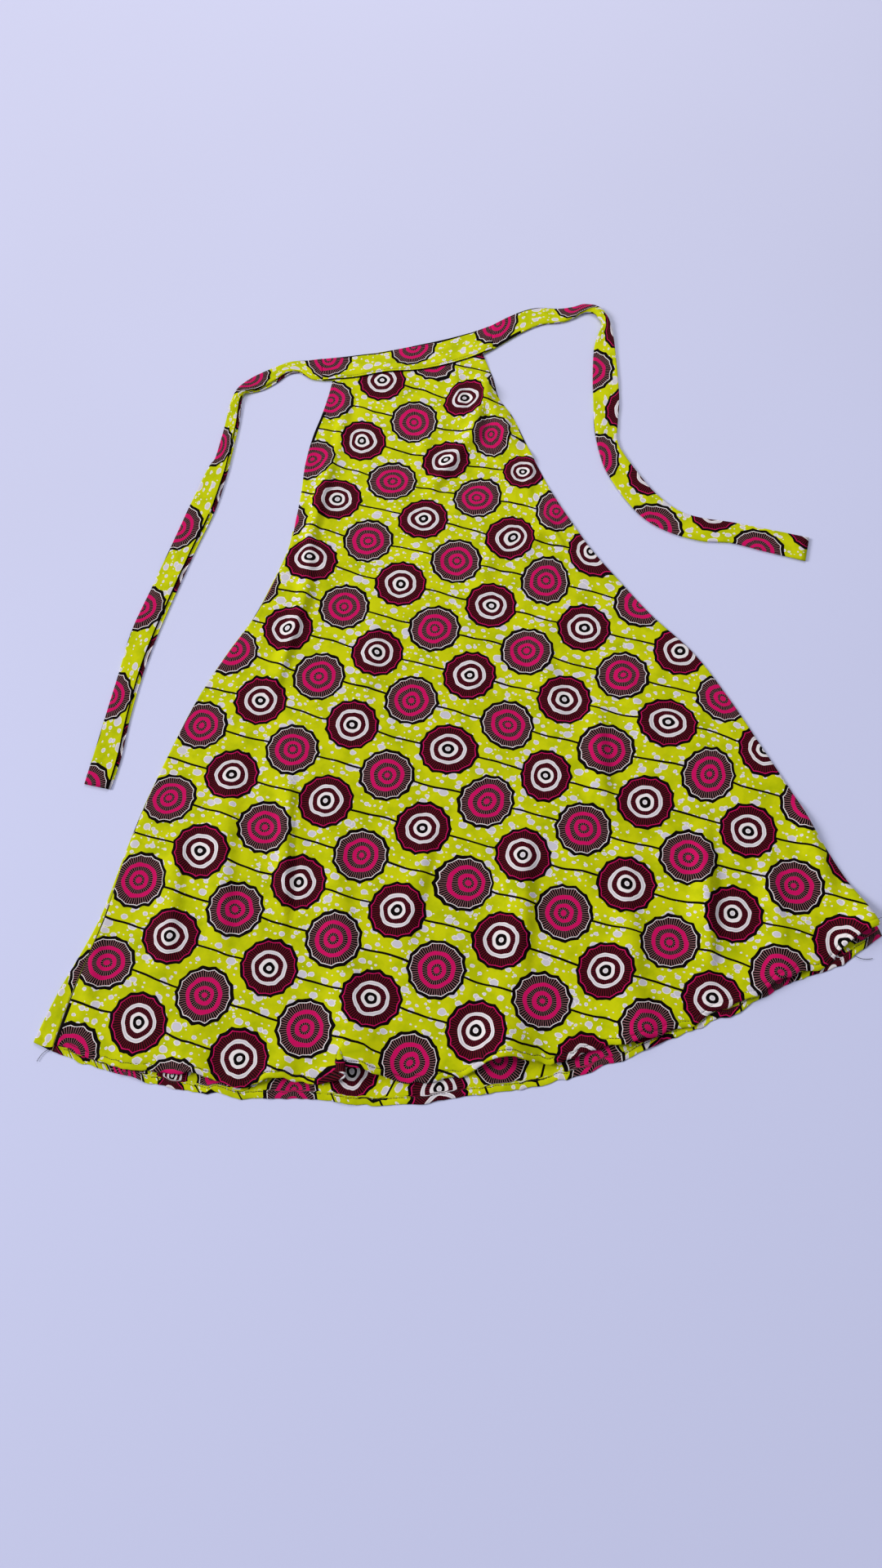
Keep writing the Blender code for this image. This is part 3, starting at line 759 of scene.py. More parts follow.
def front_piece():
    """The front's shell, with its print and black rims along parts of its sides."""
    spans = front_rows()

    def place(column, row):
        low, high, across = spans[column]
        d = spread(row, FACES_DOWN, high - low, HEM_STATIONS, EDGE_ALONE)
        y = low + d
        x = across(y)
        from_side = min(x - left_edge(y), right_edge(y) - x)
        z = front_face(x, y) + hem_relief(d) + side_relief(from_side)
        z = z + hem_lift(x, d) + hem_pucker(x, d, FRONT_PUCKER_SEED)
        seated = ease(NECK_SEAT, NECK_FOLDS_END, band_edge(x) - y)
        z += unevenness(x, y) * seated * ease(0.0, SIDE_STATIONS[-1], from_side)
        lap_x, lap_z = lapped(x, d)
        in_print = front_print(*pulled(x, y))
        y += hem_stray(x, FRONT_STRAY_SEED) * (1 - ease(0.0, STRAY_REACH, d))
        return (lap_x, y, max(z + lap_z, LOWEST_SKIN)), in_print

    def on_rim(x, y):
        from_left, from_right = x - left_edge(y), right_edge(y) - x
        return any(
            rim.low < y < rim.high and (from_left if rim.left else from_right) < rim.width for rim in RIMS
        )

    return cloth_sheet("front", FACES_ACROSS, FACES_DOWN, place, on_rim=on_rim)


# The back shows its inner face below the front's hem, and its outer face on the strip at the left.
BACK_ACROSS = 190
BACK_DOWN = 70
BACK_FACE = 0.0009  # the height of its inner face
STRIP_STATIONS = (0.0, 0.0003, 0.0009, 0.0020)  # from the strip's fold inwards
STRIP_FACES = 12
STEP_FACES = 2  # across the step down from the strip to the rest, at the seam
STEP_HALF = 0.0004
FLAT_HEM_SHARE = 0.5  # of the hem's relief, where the back lies on the floor
FLAT_FOLD_SHARE = 0.35  # of the relief at the strip's fold, where the strip lies down
BACK_SIDE_SHARE = 0.3  # of the relief at the right side
BACK_RISE = 0.0022  # its hem stands off the floor in places
BACK_RISE_SIZE = 0.05
BACK_RISE_REACH = 0.035
BACK_RISE_SEED = 5.0
FOLD_RELIEF = [
    Relief(0.0000, -0.0024),
    Relief(0.0003, -0.0012),
    Relief(0.0009, -0.0004),
    Relief(0.0020, 0.0000),
]
fold_relief = smooth_line(FOLD_RELIEF, "distance", "height")

# The rows of the back's print cross this height above the hem, one every gap from the first. Their
# angle to the line across is BACK_LEAN in the middle, and they are steeper further to the right.
BACK_CROSSING = 0.018
BACK_FIRST_ROW = -0.018
BACK_ROW_GAP = 0.0575
BACK_LEAN = radians(66)
BACK_LEAN_CHANGE = radians(60)  # a metre across
BACK_FIRST_DISC = 0.014  # the height of the first row's disc
BACK_SLANT = 0.386  # how far each row's discs lie below those of the row before, as a share of the gap
ROW_TRIES = 3  # steps that find the row through a place

# How far the print lies along its rows from that even lattice, at places across.
Drift = namedtuple("Drift", "x along")
BACK_DRIFT = [
    Drift(-0.347, -0.020),
    Drift(-0.291, 0.020),
    Drift(-0.193, 0.000),
    Drift(-0.110, 0.018),
    Drift(-0.020, 0.000),
    Drift(0.058, 0.011),
    Drift(0.152, -0.018),
    Drift(0.260, -0.018),
    # At this last place the print is shifted so that a disc's black ticked ring, more than its pink, fills
    # the opened corner: the print's own ring, placed as painted shade for the dark inside that opening.
    Drift(0.490, -0.018),
]
back_drift = smooth_line(BACK_DRIFT, "x", "along")

# The strip's print: one pink-ringed disc's middle on the front's side of the seam, and the rows' lean.
STRIP_DISC = (-0.4195, 0.174)
STRIP_LEAN = radians(62)
LAST_ROWS = 6  # the strip lies by the cloth's last row of discs, this many rows up


def inner_print(x, y):
    """A place on the back's inner face in the print's frame."""
    row_x = x
    for _ in range(ROW_TRIES):
        lean = BACK_LEAN + BACK_LEAN_CHANGE * row_x
        row_x = x - (y - BACK_CROSSING) / tan(lean)
    across = (row_x - BACK_FIRST_ROW) * ROW_STEP / 2 / BACK_ROW_GAP
    along = (y - BACK_FIRST_DISC + BACK_SLANT * (row_x - BACK_FIRST_ROW)) / sin(lean) + back_drift(x)
    return along, -across


def strip_print(x, y):
    """A place on the wrapped strip in the print's frame."""
    x, y = x - STRIP_DISC[0], y - STRIP_DISC[1]
    turn_x, turn_y = cos(STRIP_LEAN), sin(STRIP_LEAN)
    along, over = x * turn_x + y * turn_y, y * turn_x - x * turn_y
    rows = LAST_ROWS * ROW_STEP
    return along + PINK_DISC[0] - LAST_ROWS * ROW_SLIP, over + PINK_DISC[1] + rows


def back_rise(x):
    """How far the back's hem stands off the floor."""
    return BACK_RISE * max(smooth_noise(x, 0.0, BACK_RISE_SIZE, 1.0, BACK_RISE_SEED), 0.0)


def back_piece():
    """The back's shell: the strip at the left, the step down at the seam, and the rest."""
    turn_up = bpy.context.scene.dress_sizes.hem_turn
    spans = []
    for column in range(BACK_ACROSS + 1):

        def across(y, column=column):
            seam = left_edge(y)
            width = wrap_width(y)
            if column <= STRIP_FACES:
                first = tuple(min(s, width / 4) for s in STRIP_STATIONS)
                return seam - width + spread(column, STRIP_FACES, width - STEP_HALF, first, EDGE_ALONE)
            done = STRIP_FACES + STEP_FACES
            if column <= done:
                return seam - STEP_HALF + 2 * STEP_HALF * (column - STRIP_FACES) / STEP_FACES
            rest = right_edge(y) - seam - STEP_HALF
            along = spread(column - done, BACK_ACROSS - done, rest, EDGE_ALONE, SIDE_STATIONS)
            return seam + STEP_HALF + along

        spans.append((hem_height(back_hem, across), across))

    def place(column, row):
        low, across = spans[column]
        d = spread(row, BACK_DOWN, BACK_TOP - low, HEM_STATIONS, EDGE_ALONE)
        y = low + d
        x = across(y)
        on_strip = column <= STRIP_FACES
        raised = 1 - ease(WRAP_FULL, WRAP_NONE, y) if on_strip else 0.0
        z = BACK_FACE + (LAYER + ON_BACK - BACK_FACE) * raised
        z += hem_relief(d) * (FLAT_HEM_SHARE if z < 2 * LAYER else 1.0)
        z += back_rise(x) * (1 - ease(0.0, BACK_RISE_REACH, d))
        z += hem_pucker(x, d, BACK_PUCKER_SEED)
        if on_strip:
            from_fold = x - left_edge(y) + wrap_width(y)
            z += fold_relief(from_fold) * (FLAT_FOLD_SHARE + (1 - FLAT_FOLD_SHARE) * raised)
        z = max(z + side_relief(right_edge(y) - x) * BACK_SIDE_SHARE, LOWEST_SKIN)
        if on_strip:
            in_print = strip_print(x, y)
        else:
            # The turned-up hem shows the cloth from below the fold line, running back down.
            in_print = inner_print(x, y - 2 * d if d < turn_up else y)
        y += hem_stray(x, BACK_STRAY_SEED) * (1 - ease(0.0, STRAY_REACH, d))
        return (x, y, z), in_print

    return cloth_sheet("back", BACK_ACROSS, BACK_DOWN, place)


# The band's section, from the turned-in lower edge of its upper layer, over the fold and back under:
# each point's distance from the lower edge, as a share of the width and an offset, its height where
# the band is flat, and how much higher it stands on the front.
Turn = namedtuple("Turn", "share offset height raised")
BAND_TURNS = [
    Turn(0.0, 0.0040, 0.0016, 1.0),
    Turn(0.0, 0.0012, 0.0016, 1.0),
    Turn(0.0, 0.0002, 0.0019, 1.0),
    Turn(0.0, 0.0000, 0.0022, 1.0),
    Turn(0.0, 0.0005, 0.0026, 1.0),
    Turn(0.0, 0.0016, 0.0028, 1.0),
    Turn(0.0, 0.0036, 0.0028, 1.0),
    Turn(0.0, 0.0045, 0.0026, 1.0),
    Turn(0.0, 0.0051, 0.0023, 1.0),
    Turn(0.0, 0.0057, 0.0026, 1.0),
    Turn(0.0, 0.0070, 0.0028, 1.0),
    Turn(0.0, 0.0110, 0.0028, 1.0),
    Turn(0.0, 0.0150, 0.0027, 0.8),
    Turn(0.0, 0.0190, 0.0027, 0.4),
    Turn(0.0, 0.0230, 0.0027, 0.1),
    Turn(0.5, 0.0050, 0.0027, 0.0),
    Turn(0.5, 0.0100, 0.0027, 0.0),
    Turn(1.0, -0.0060, 0.0027, 0.0),
    Turn(1.0, -0.0030, 0.0026, 0.0),
    Turn(1.0, -0.0012, 0.0024, 0.0),
    Turn(1.0, -0.0003, 0.0019, 0.0),
    Turn(1.0, 0.0000, 0.0014, 0.0),
    Turn(1.0, -0.0003, 0.0008, 0.0),
    Turn(1.0, -0.0012, 0.0004, 0.0),
    Turn(1.0, -0.0040, 0.0003, 0.0),
    Turn(0.5, 0.0060, 0.0003, 0.0),
    Turn(0.0, 0.0080, 0.0003, 0.0),
    Turn(0.0, 0.0006, 0.0003, 0.0),
]
BAND_FOLD_TURN = 21  # the turn that is the fold itself
BAND_FACES = 130
BAND_FIRST_DISC = -0.115  # where a pink-ringed disc's middle lies on the band
FOLD_TO_DISC = 0.0025  # the row of discs lies this far inside the fold
# Painted shade: the black along the band's lower edge stands in for the shade under that edge. Along parts of
# the fold the rim is black too.
BAND_RIM = 0.0021  # a row line's black shows this far from the lower edge and from parts of the fold
BAND_FOLD_LINES = [(-0.098, -0.062), (0.012, 0.098)]
BAND_OVERHANG = 0.0002  # past the solid's ends
BAND_LEFT_RISE = 0.020  # the lengths over which the band rises on to the front
BAND_RIGHT_RISE = 0.016
BAND_PUCKER = 0.00025
BAND_PUCKER_ACROSS = 0.007
BAND_PUCKER_ALONG = 0.020
BAND_PUCKER_FADE = (0.008, 0.020)
BAND_PUCKER_SEED = 2.2
BAND_WAVE = 0.0003
BAND_WAVE_SIZE = 0.030
BAND_WAVE_SEED = 4.4
BAND_EDGE_TURN = 5  # up to this turn, round the lower edge, there are no waves


def strip_place(disc, from_fold):
    """A place in the print's frame on a strip, from its disc number and its distance from the fold."""
    return PINK_DISC[0] + disc * DISC_STEP, PINK_DISC[1] + from_fold - FOLD_TO_DISC


def band_piece():
    """The neck band's shell, folded along its upper edge, with its lower edge turned in."""

    def place(column, row):
        length = BAND_RIGHT - BAND_LEFT + 2 * BAND_OVERHANG
        x = BAND_LEFT - BAND_OVERHANG + length * column / BAND_FACES
        edge, fold = band_edge(x), band_fold(x)
        turn = BAND_TURNS[row]
        d = turn.share * (fold - edge) + turn.offset
        on_front = ease(BAND_LEFT, BAND_LEFT + BAND_LEFT_RISE, x)
        on_front *= 1 - ease(BAND_RIGHT - BAND_RIGHT_RISE, BAND_RIGHT, x)
        pucker = BAND_PUCKER * smooth_noise(x, d, BAND_PUCKER_ACROSS, BAND_PUCKER_ALONG, BAND_PUCKER_SEED)
        pucker *= 1 - ease(*BAND_PUCKER_FADE, d)
        wave = BAND_WAVE * smooth_noise(x, d, BAND_WAVE_SIZE, BAND_WAVE_SIZE, BAND_WAVE_SEED)
        z = turn.height + ON_BACK * turn.raised * on_front
        if row <= BAND_FOLD_TURN:
            z += pucker + wave * (row > BAND_EDGE_TURN)
        from_fold = (fold - edge - d) * (1 if row <= BAND_FOLD_TURN else -1)
        disc = (x - BAND_FIRST_DISC) / DISC_STEP
        return (x, edge + d, z), strip_place(disc, from_fold)

    # Painted shade along the lower edge, and black along parts of the fold.
    def on_rim(x, y):
        by_fold = band_fold(x) - y < BAND_RIM and any(low < x < high for low, high in BAND_FOLD_LINES)
        return by_fold or y - band_edge(x) < BAND_RIM

    return cloth_sheet("band", BAND_FACES, len(BAND_TURNS) - 1, place, on_rim=on_rim)


TIE_STEPS = 8  # columns of faces between two rows of a tie's table
TIE_HALF = 14  # faces round the half of a tie's section
STRIP_HALF = 0.038  # width of the folded strip
STRIP_POWER = 9.0  # a flat tie's section is nearly square at its edges
ROLL_POWER = 2.6  # and a rolled one's nearly an ellipse
TIE_CLEAR = 0.0001  # the skin stays this far above the floor
TURN_HALF = 0.035  # half the length over which a tie turns over
ROLL_CREASE = 0.16  # how deep a rolled tie's creases are, as a share of its height
ROLL_CREASES = 5  # round the whole of it
CREASE_DRIFT = 9  # how far they wander round it, as an angle
CREASE_DRIFT_SIZE = 0.05
CREASE_DRIFT_SEED = 6.0
TIE_WAVE = 0.0004
TIE_WAVE_ALONG = 0.025
TIE_WAVE_ACROSS = 0.015
TIE_WAVE_SEED = 8.0


def blacken_open_edge(mesh, arcs, thread_and_shade, faces):
    """Gives the upper layer's open edge the black of a row line, along the given lengths: the dark
    topstitching, with painted shade in the gap under that edge.
    """
    layer = mesh.uv_layers["cloth"].data
    columns = len(arcs) - 1
    for face in mesh.polygons:
        corners = [divmod(v, columns + 1) for v in face.vertices]
        row, column = min(c[0] for c in corners), min(c[1] for c in corners)
        if row < faces and any(low < arcs[column] < high for low, high in thread_and_shade):
            for loop in face.loop_indices:
                layer[loop].uv = ON_ROW_LINE


def tie_piece(name, rows, marks, turned_at, turned_over, thread_and_shade, thread_and_shade_faces):
    """A tie: a strip folded along its outer edge, rolled up where it is pinched.

    Where it turns over, the section turns half round, so the fold comes to lie at the inner edge.
    """
    Station = namedtuple("Station", ("along",) + Section._fields)
    placed = [Station(k, *row) for k, row in enumerate(rows)]
    lines = [smooth_line(placed, "along", column) for column in Section._fields]
    stops = [k / TIE_STEPS for k in range((len(rows) - 1) * TIE_STEPS + 1)]
    sections = [Section(*(line(stop) for line in lines)) for stop in stops]
    arcs = [0.0]
    for a, b in zip(sections, sections[1:]):
        outer = hypot(b.outer_x - a.outer_x, b.outer_y - a.outer_y)
        inner = hypot(b.inner_x - a.inner_x, b.inner_y - a.inner_y)
        arcs.append(arcs[-1] + (outer + inner) / 2)
    disc_at = smooth_line(marks, "arc", "disc")

    def ring(column):
        row = sections[column]
        arc = arcs[column]
        width = hypot(row.inner_x - row.outer_x, row.inner_y - row.outer_y)
        roundness = min(max(row.round_, 0.0), 1.0)
        power = STRIP_POWER + (ROLL_POWER - STRIP_POWER) * roundness
        turn = pi * ease(turned_at - TURN_HALF, turned_at + TURN_HALF, arc) if turned_at else 0.0
        to_x, to_y = (row.inner_x - row.outer_x) / width, (row.inner_y - row.outer_y) / width
        half, top = width / 2, row.height / 2 - TIE_CLEAR
        drift = CREASE_DRIFT * smooth_noise(arc, 0.0, CREASE_DRIFT_SIZE, 1.0, CREASE_DRIFT_SEED)
        points = []
        for k in range(2 * TIE_HALF + 1):
            angle = pi * k / TIE_HALF + turn
            across = cos(angle)
            lift = max(1 - abs(across) ** power, 0.0) ** (1 / power)
            crease = 1 + ROLL_CREASE * roundness * sin(ROLL_CREASES * angle + drift)
            upper = sin(angle) >= 0
            under = row.under if upper and not turned_at else 0.0
            d = half + half * across - under * (1 + across) / 2
            z = top + 2 * TIE_CLEAR + top * lift * (crease if upper else -1.0)
            if upper:
                z += TIE_WAVE * smooth_noise(arc, d, TIE_WAVE_ALONG, TIE_WAVE_ACROSS, TIE_WAVE_SEED) * lift
            points.append((row.outer_x + to_x * d, row.outer_y + to_y * d, max(z, TIE_CLEAR)))
        lengths = [0.0]
        for a, b in zip(points, points[1:]):
            lengths.append(lengths[-1] + hypot(hypot(b[0] - a[0], b[1] - a[1]), b[2] - a[2]))
        scale = 2 * STRIP_HALF / lengths[-1]
        return points, [STRIP_HALF - s * scale for s in lengths], disc_at(arc)

    rings = [ring(column) for column in range(len(sections))]

    def place(column, row):
        points, from_fold, disc = rings[column]
        return points[row], strip_place(disc, from_fold[row])

    tie = cloth_sheet(name, len(sections) - 1, 2 * TIE_HALF, place, turned_over)
    # Painted shade, with the topstitching's black, along the open edge.
    blacken_open_edge(tie.data, arcs, thread_and_shade, thread_and_shade_faces)
    return tie


# Sewing. A stitch is a short bar with round ends.
HEM_STITCH_IN = 0.0072
BAND_STITCH_IN = 0.0051
BAND_STITCH_HEIGHT = 0.0024  # where the band is flat
STITCH_PITCH = 0.0031
STITCH_SUNK = 0.0001  # into the front's face
THREAD_FLAT = 0.8  # its thickness over its width, once sewn
SAMPLES = 2000  # steps along a seam
FRONT_SEWN = (-0.455, 0.506)
BACK_SEWN = (-0.455, 0.500)
BAND_SEWN = (-0.098, 0.112)

# Two cut ends of thread at the lower corners: start, bend and end. Their bars overlap.
LOOSE_ENDS = [
    ((-0.464, 0.091), (-0.478, 0.097), (-0.487, 0.079)),
    ((0.466, 0.134), (0.473, 0.121), (0.489, 0.123)),
]
LOOSE_PITCH = 0.0021
LOOSE_HEIGHT = 0.0012


def stitch_line(bm, path, low, high, pitch):
    """Stitches along a path, which gives a place for each value from low to high."""
    length = bpy.context.scene.dress_sizes.stitch
    thread = bpy.context.scene.dress_sizes.thread
    points = [Vector(path(low + (high - low) * k / SAMPLES)) for k in range(SAMPLES + 1)]
    travelled, due = 0.0, 0.0
    for a, b in zip(points, points[1:]):
        travelled += (b - a).length
        if travelled < due:
            continue
        due += pitch
        run = (b - a).normalized()
        turn = run.to_track_quat("X", "Z").to_matrix().to_4x4()
        size = Matrix.Diagonal((length, thread, thread * THREAD_FLAT, 1.0))
        at = Matrix.Translation(a - Vector((MIDDLE_X, MIDDLE_Y, 0.0)))
        bmesh.ops.create_uvsphere(bm, u_segments=6, v_segments=4, radius=0.5, matrix=at @ turn @ size)


def stitches_piece():
    """The stitches of both hems and of the band, and the two loose ends."""
    bm = bmesh.new()

    def on_front_hem(x):
        y, d = front_hem(x) + HEM_STITCH_IN, HEM_STITCH_IN
        lap_x, lap_z = lapped(x, d)
        z = front_face(x, y) + hem_lift(x, d) + hem_pucker(x, d, FRONT_PUCKER_SEED) + lap_z
        return lap_x, y + hem_stray(x, FRONT_STRAY_SEED), z - STITCH_SUNK

    def on_back_hem(x):
        z = BACK_FACE + back_rise(x)
        z += hem_pucker(x, HEM_STITCH_IN, BACK_PUCKER_SEED)
        return x, back_hem(x) + HEM_STITCH_IN + hem_stray(x, BACK_STRAY_SEED), z

    def on_band(x):
        return x, band_edge(x) + BAND_STITCH_IN, BAND_STITCH_HEIGHT + ON_BACK

    stitch_line(bm, on_front_hem, *FRONT_SEWN, STITCH_PITCH)
    stitch_line(bm, on_back_hem, *BACK_SEWN, STITCH_PITCH)
    stitch_line(bm, on_band, *BAND_SEWN, STITCH_PITCH)
    for start, bend, end in LOOSE_ENDS:

        def on_end(t, start=start, bend=bend, end=end):
            x, y = (a * (1 - t) ** 2 + b * 2 * t * (1 - t) + c * t * t for a, b, c in zip(start, bend, end))
            return x, y, LOOSE_HEIGHT

        stitch_line(bm, on_end, 0.0, 1.0, LOOSE_PITCH)
    return linked("stitches", bm)


# A disc's rings from its middle out: where each starts, as a share of the disc's radius, its colour
# and the colour of its ticks.
Ring = namedtuple("Ring", "start base ticks")
PINK_RINGS = [
    Ring(0.000, "pink", "pink"),
    Ring(0.100, "black", "blush"),
    Ring(0.188, "pink", "pink"),
    Ring(0.324, "black", "blush"),
    Ring(0.470, "pink", "pink"),
    Ring(0.605, "black", "blush"),
    Ring(0.852, "white", "white"),
    Ring(0.882, "black", "black"),
]
WHITE_RINGS = [
    Ring(0.000, "bubble", "bubble"),
    Ring(0.050, "white", "white"),
    Ring(0.085, "black", "black"),
    Ring(0.193, "white", "white"),
    Ring(0.304, "maroon", "black"),
    Ring(0.466, "white", "white"),
    Ring(0.497, "bubble", "bubble"),
    Ring(0.547, "white", "white"),
    Ring(0.580, "maroon", "black"),
    Ring(0.860, "pink", "pink"),
    Ring(0.893, "black", "black"),
]
LOBES = 14  # scallops round a disc's edge
LOBE_DEPTH = 0.055  # as a share of the radius
LOBED_FROM = (0.60, 0.88)  # round inside the first share of the radius, scalloped past the second
TICKS = (15, 25, 22)  # in the innermost ticked ring, and how many more in each further out
TICKED_FROM = (0.27, 0.56)
PINK_TICK_SHARE = 0.20  # a tick's width over the ticks' spacing
WHITE_TICK_SHARE = 0.50
PINK_SEED = 1.0
WHITE_SEED = 2.0
RING_WOBBLE = 0.11  # how far a ring strays from round, as a share of the radius
WOBBLES = 75.0  # a metre
LINE_WIDTH = 0.0026
LINE_BEND = 0.010
LINE_BENDS = 16.0  # a metre

# Hand-cut blocks and resist never print quite true: everything wanders by about a millimetre.
PRINT_DRIFT = 0.0030
PRINT_DRIFTS = 28.0  # a metre
CLOUDS = 34.0  # darker patches of the ground, a metre
CLOUD_RANGE = (0.42, 0.68)

# Bubbles of four sizes: the spacing of the places that may hold one, its smallest and largest
# radius, and the share of the places that do.
Bubbles = namedtuple("Bubbles", "cell smallest largest share")
BUBBLES = [
    Bubbles(0.0070, 0.0005, 0.0013, 0.40),
    Bubbles(0.0110, 0.0012, 0.0026, 0.66),
    Bubbles(0.0190, 0.0025, 0.0044, 0.66),
    Bubbles(0.0340, 0.0036, 0.0058, 0.55),
]
BUBBLE_LONG = 1.3  # a bubble's length along the rows over its width
BUBBLE_RIM = 0.0007  # where the cloth is whitest
BUBBLE_SCATTER = 0.85  # 0 would set the places in a square grid
RAGGED = 0.0022  # how uneven a bubble's outline is
RAGGEDNESS = 260.0  # a metre


def add(tree, kind, *inputs, output=0, stops=(), **settings):
    """Adds one node with its settings and its values or links, and gives one of its outputs."""
    node = tree.nodes.new("ShaderNode" + kind)
    for name, value in settings.items():
        setattr(node, name, value)
    for socket, value in zip(node.inputs, inputs):
        if isinstance(value, bpy.types.NodeSocket):
            tree.links.new(value, socket)
        elif value is not None:
            socket.default_value = value
    for k, (position, colour) in enumerate(stops):
        element = node.color_ramp.elements[k] if k < 2 else node.color_ramp.elements.new(position)
        element.position = position
        element.color = colour
    return node.outputs[output]


def printed_discs(node, place, middle, rings, tick_share, colours, seed):
    """One kind of disc on the print's lattice: its colour, and 1 where it covers the ground."""
    size = bpy.context.scene.dress_sizes.disc
    from_middle = node("VectorMath", place, (*middle, 0.0), operation="SUBTRACT")
    along = node("SeparateXYZ", from_middle)
    over = node("SeparateXYZ", from_middle, output=1)
    row = node("Math", node("Math", over, -1 / ROW_STEP, operation="MULTIPLY"), operation="ROUND")
    aside = node("Math", row, -ROW_SLIP, along, operation="MULTIPLY_ADD")
    column = node("Math", node("Math", aside, 1 / DISC_STEP, operation="MULTIPLY"), operation="ROUND")
    x = node("Math", column, -DISC_STEP, aside, operation="MULTIPLY_ADD")
    y = node("Math", row, ROW_STEP, over, operation="MULTIPLY_ADD")
    chance = node("TexWhiteNoise", node("CombineXYZ", column, row, seed), noise_dimensions="3D")
    turn = node("Math", node("Math", y, x, operation="ARCTAN2"), chance, operation="ADD")
    radius = node("VectorMath", node("CombineXYZ", x, y, 0.0), operation="LENGTH", output=1)
    wobble = node("TexNoise", place, None, WOBBLES, 1.0)
    rough = node("Math", node("Math", wobble, 0.5, operation="SUBTRACT"), RING_WOBBLE, operation="MULTIPLY")
    share = node("Math", radius, 2 / size, rough, operation="MULTIPLY_ADD")
    lobes = node("Math", turn, LOBES / 2, operation="MULTIPLY")
    lobes = node("Math", node("Math", lobes, operation="SINE"), operation="ABSOLUTE")
    outer = node("MapRange", share, *LOBED_FROM, 0.0, LOBE_DEPTH, interpolation_type="SMOOTHSTEP")
    cut = node("Math", node("Math", lobes, outer, operation="MULTIPLY"), -1.0, 1.0, operation="MULTIPLY_ADD")
    share = node("Math", share, cut, operation="DIVIDE")
    count = TICKS[0]
    for more, start in zip(TICKS[1:], TICKED_FROM):
        further = node("Math", share, start, operation="GREATER_THAN")
        count = node("Math", further, float(more), count, operation="MULTIPLY_ADD")
    tick = node("Math", node("Math", turn, count, operation="MULTIPLY"), 1 / (2 * pi), operation="MULTIPLY")
    tick = node("Math", node("Math", tick, operation="FRACT"), tick_share, operation="LESS_THAN")
    base = [(ring.start, colours[ring.base]) for ring in rings]
    ticks = [(ring.start, colours[ring.ticks]) for ring in rings]
    base = node("ValToRGB", share, stops=base)
    ticks = node("ValToRGB", share, stops=ticks)
    for ramp in (base.node, ticks.node):
        ramp.color_ramp.interpolation = "CONSTANT"
    return node("MixRGB", tick, base, ticks), node("Math", share, 1.0, operation="LESS_THAN")


def print_group():
    """The wax print, in cloth coordinates in metres: lime ground, bubbles, row lines and discs."""
    tree = bpy.data.node_groups.new("wax print", "ShaderNodeTree")
    tree.interface.new_socket("Cloth", in_out="INPUT", socket_type="NodeSocketVector")
    tree.interface.new_socket("Selvedge", in_out="INPUT", socket_type="NodeSocketFloat")
    tree.interface.new_socket("Colour", in_out="OUTPUT", socket_type="NodeSocketColor")
    node = partial(add, tree)
    palette = bpy.context.scene.dress_colours
    names = ("ground", "shade", "black", "pink", "maroon", "white", "bubble", "blush")
    colours = {name: tuple(getattr(palette, name)) for name in names}
    entry = tree.nodes.new("NodeGroupInput")
    cloth, selvedge = entry.outputs[0], entry.outputs[1]

    drift = node("TexNoise", cloth, None, PRINT_DRIFTS, 1.0, output=1)
    drift = node("VectorMath", drift, (0.5, 0.5, 0.5), operation="SUBTRACT")
    place = node("VectorMath", drift, (PRINT_DRIFT,) * 3, cloth, operation="MULTIPLY_ADD")

    cloudy = node("TexNoise", place, None, CLOUDS, 3.0, 0.6)
    cloudy = node("MapRange", cloudy, *CLOUD_RANGE)
    colour = node("MixRGB", cloudy, colours["ground"], colours["shade"])

    ragged = node("TexNoise", cloth, None, RAGGEDNESS, 1.0, output=1)
    ragged = node("VectorMath", ragged, (0.5, 0.5, 0.5), operation="SUBTRACT")
    ragged = node("VectorMath", ragged, (RAGGED,) * 3, place, operation="MULTIPLY_ADD")
    ragged = node("VectorMath", ragged, (1 / BUBBLE_LONG, 1.0, 1.0), operation="MULTIPLY")
    for size in BUBBLES:
        near = node(
            "TexVoronoi", ragged, None, 1 / size.cell, 0.0, None, None, None, None, BUBBLE_SCATTER,
            voronoi_dimensions="2D",
        )
        chance = node("SeparateColor", near.node.outputs["Color"])
        spread_of = (size.largest - size.smallest) / size.cell
        radius = node("Math", chance, spread_of, size.smallest / size.cell, operation="MULTIPLY_ADD")
        inside = node("Math", radius, near, operation="SUBTRACT")
        here = node("Math", chance.node.outputs[1], size.share, operation="LESS_THAN")
        shown = node("Math", node("Math", inside, 0.0, operation="GREATER_THAN"), here, operation="MULTIPLY")
        core = node("Math", inside, BUBBLE_RIM / size.cell, operation="GREATER_THAN")
        bubble = node("MixRGB", core, colours["white"], colours["bubble"])
        colour = node("MixRGB", shown, colour, bubble)

    bend = node("Math", node("TexNoise", cloth, None, LINE_BENDS, 1.0), 0.5, operation="SUBTRACT")
    row = node("Math", bend, LINE_BEND, node("SeparateXYZ", place, output=1), operation="MULTIPLY_ADD")
    row = node("Math", row, 2 / ROW_STEP, operation="MULTIPLY")
    off_row = node("Math", row, node("Math", row, operation="ROUND"), operation="SUBTRACT")
    off_row = node("Math", off_row, operation="ABSOLUTE")
    line = node("Math", off_row, LINE_WIDTH / ROW_STEP, operation="LESS_THAN")
    colour = node("MixRGB", line, colour, colours["black"])

    discs = partial(printed_discs, node, place)
    pink, pink_mask = discs(PINK_DISC, PINK_RINGS, PINK_TICK_SHARE, colours, PINK_SEED)
    colour = node("MixRGB", pink_mask, colour, pink)
    white, white_mask = discs((0.0, 0.0), WHITE_RINGS, WHITE_TICK_SHARE, colours, WHITE_SEED)
    inland = node("Math", node("SeparateXYZ", place, output=1), selvedge, operation="LESS_THAN")
    white_mask = node("Math", white_mask, inland, operation="MULTIPLY")
    colour = node("MixRGB", white_mask, colour, white)
    leave = tree.nodes.new("NodeGroupOutput")
    tree.links.new(colour, leave.inputs[0])
    return tree


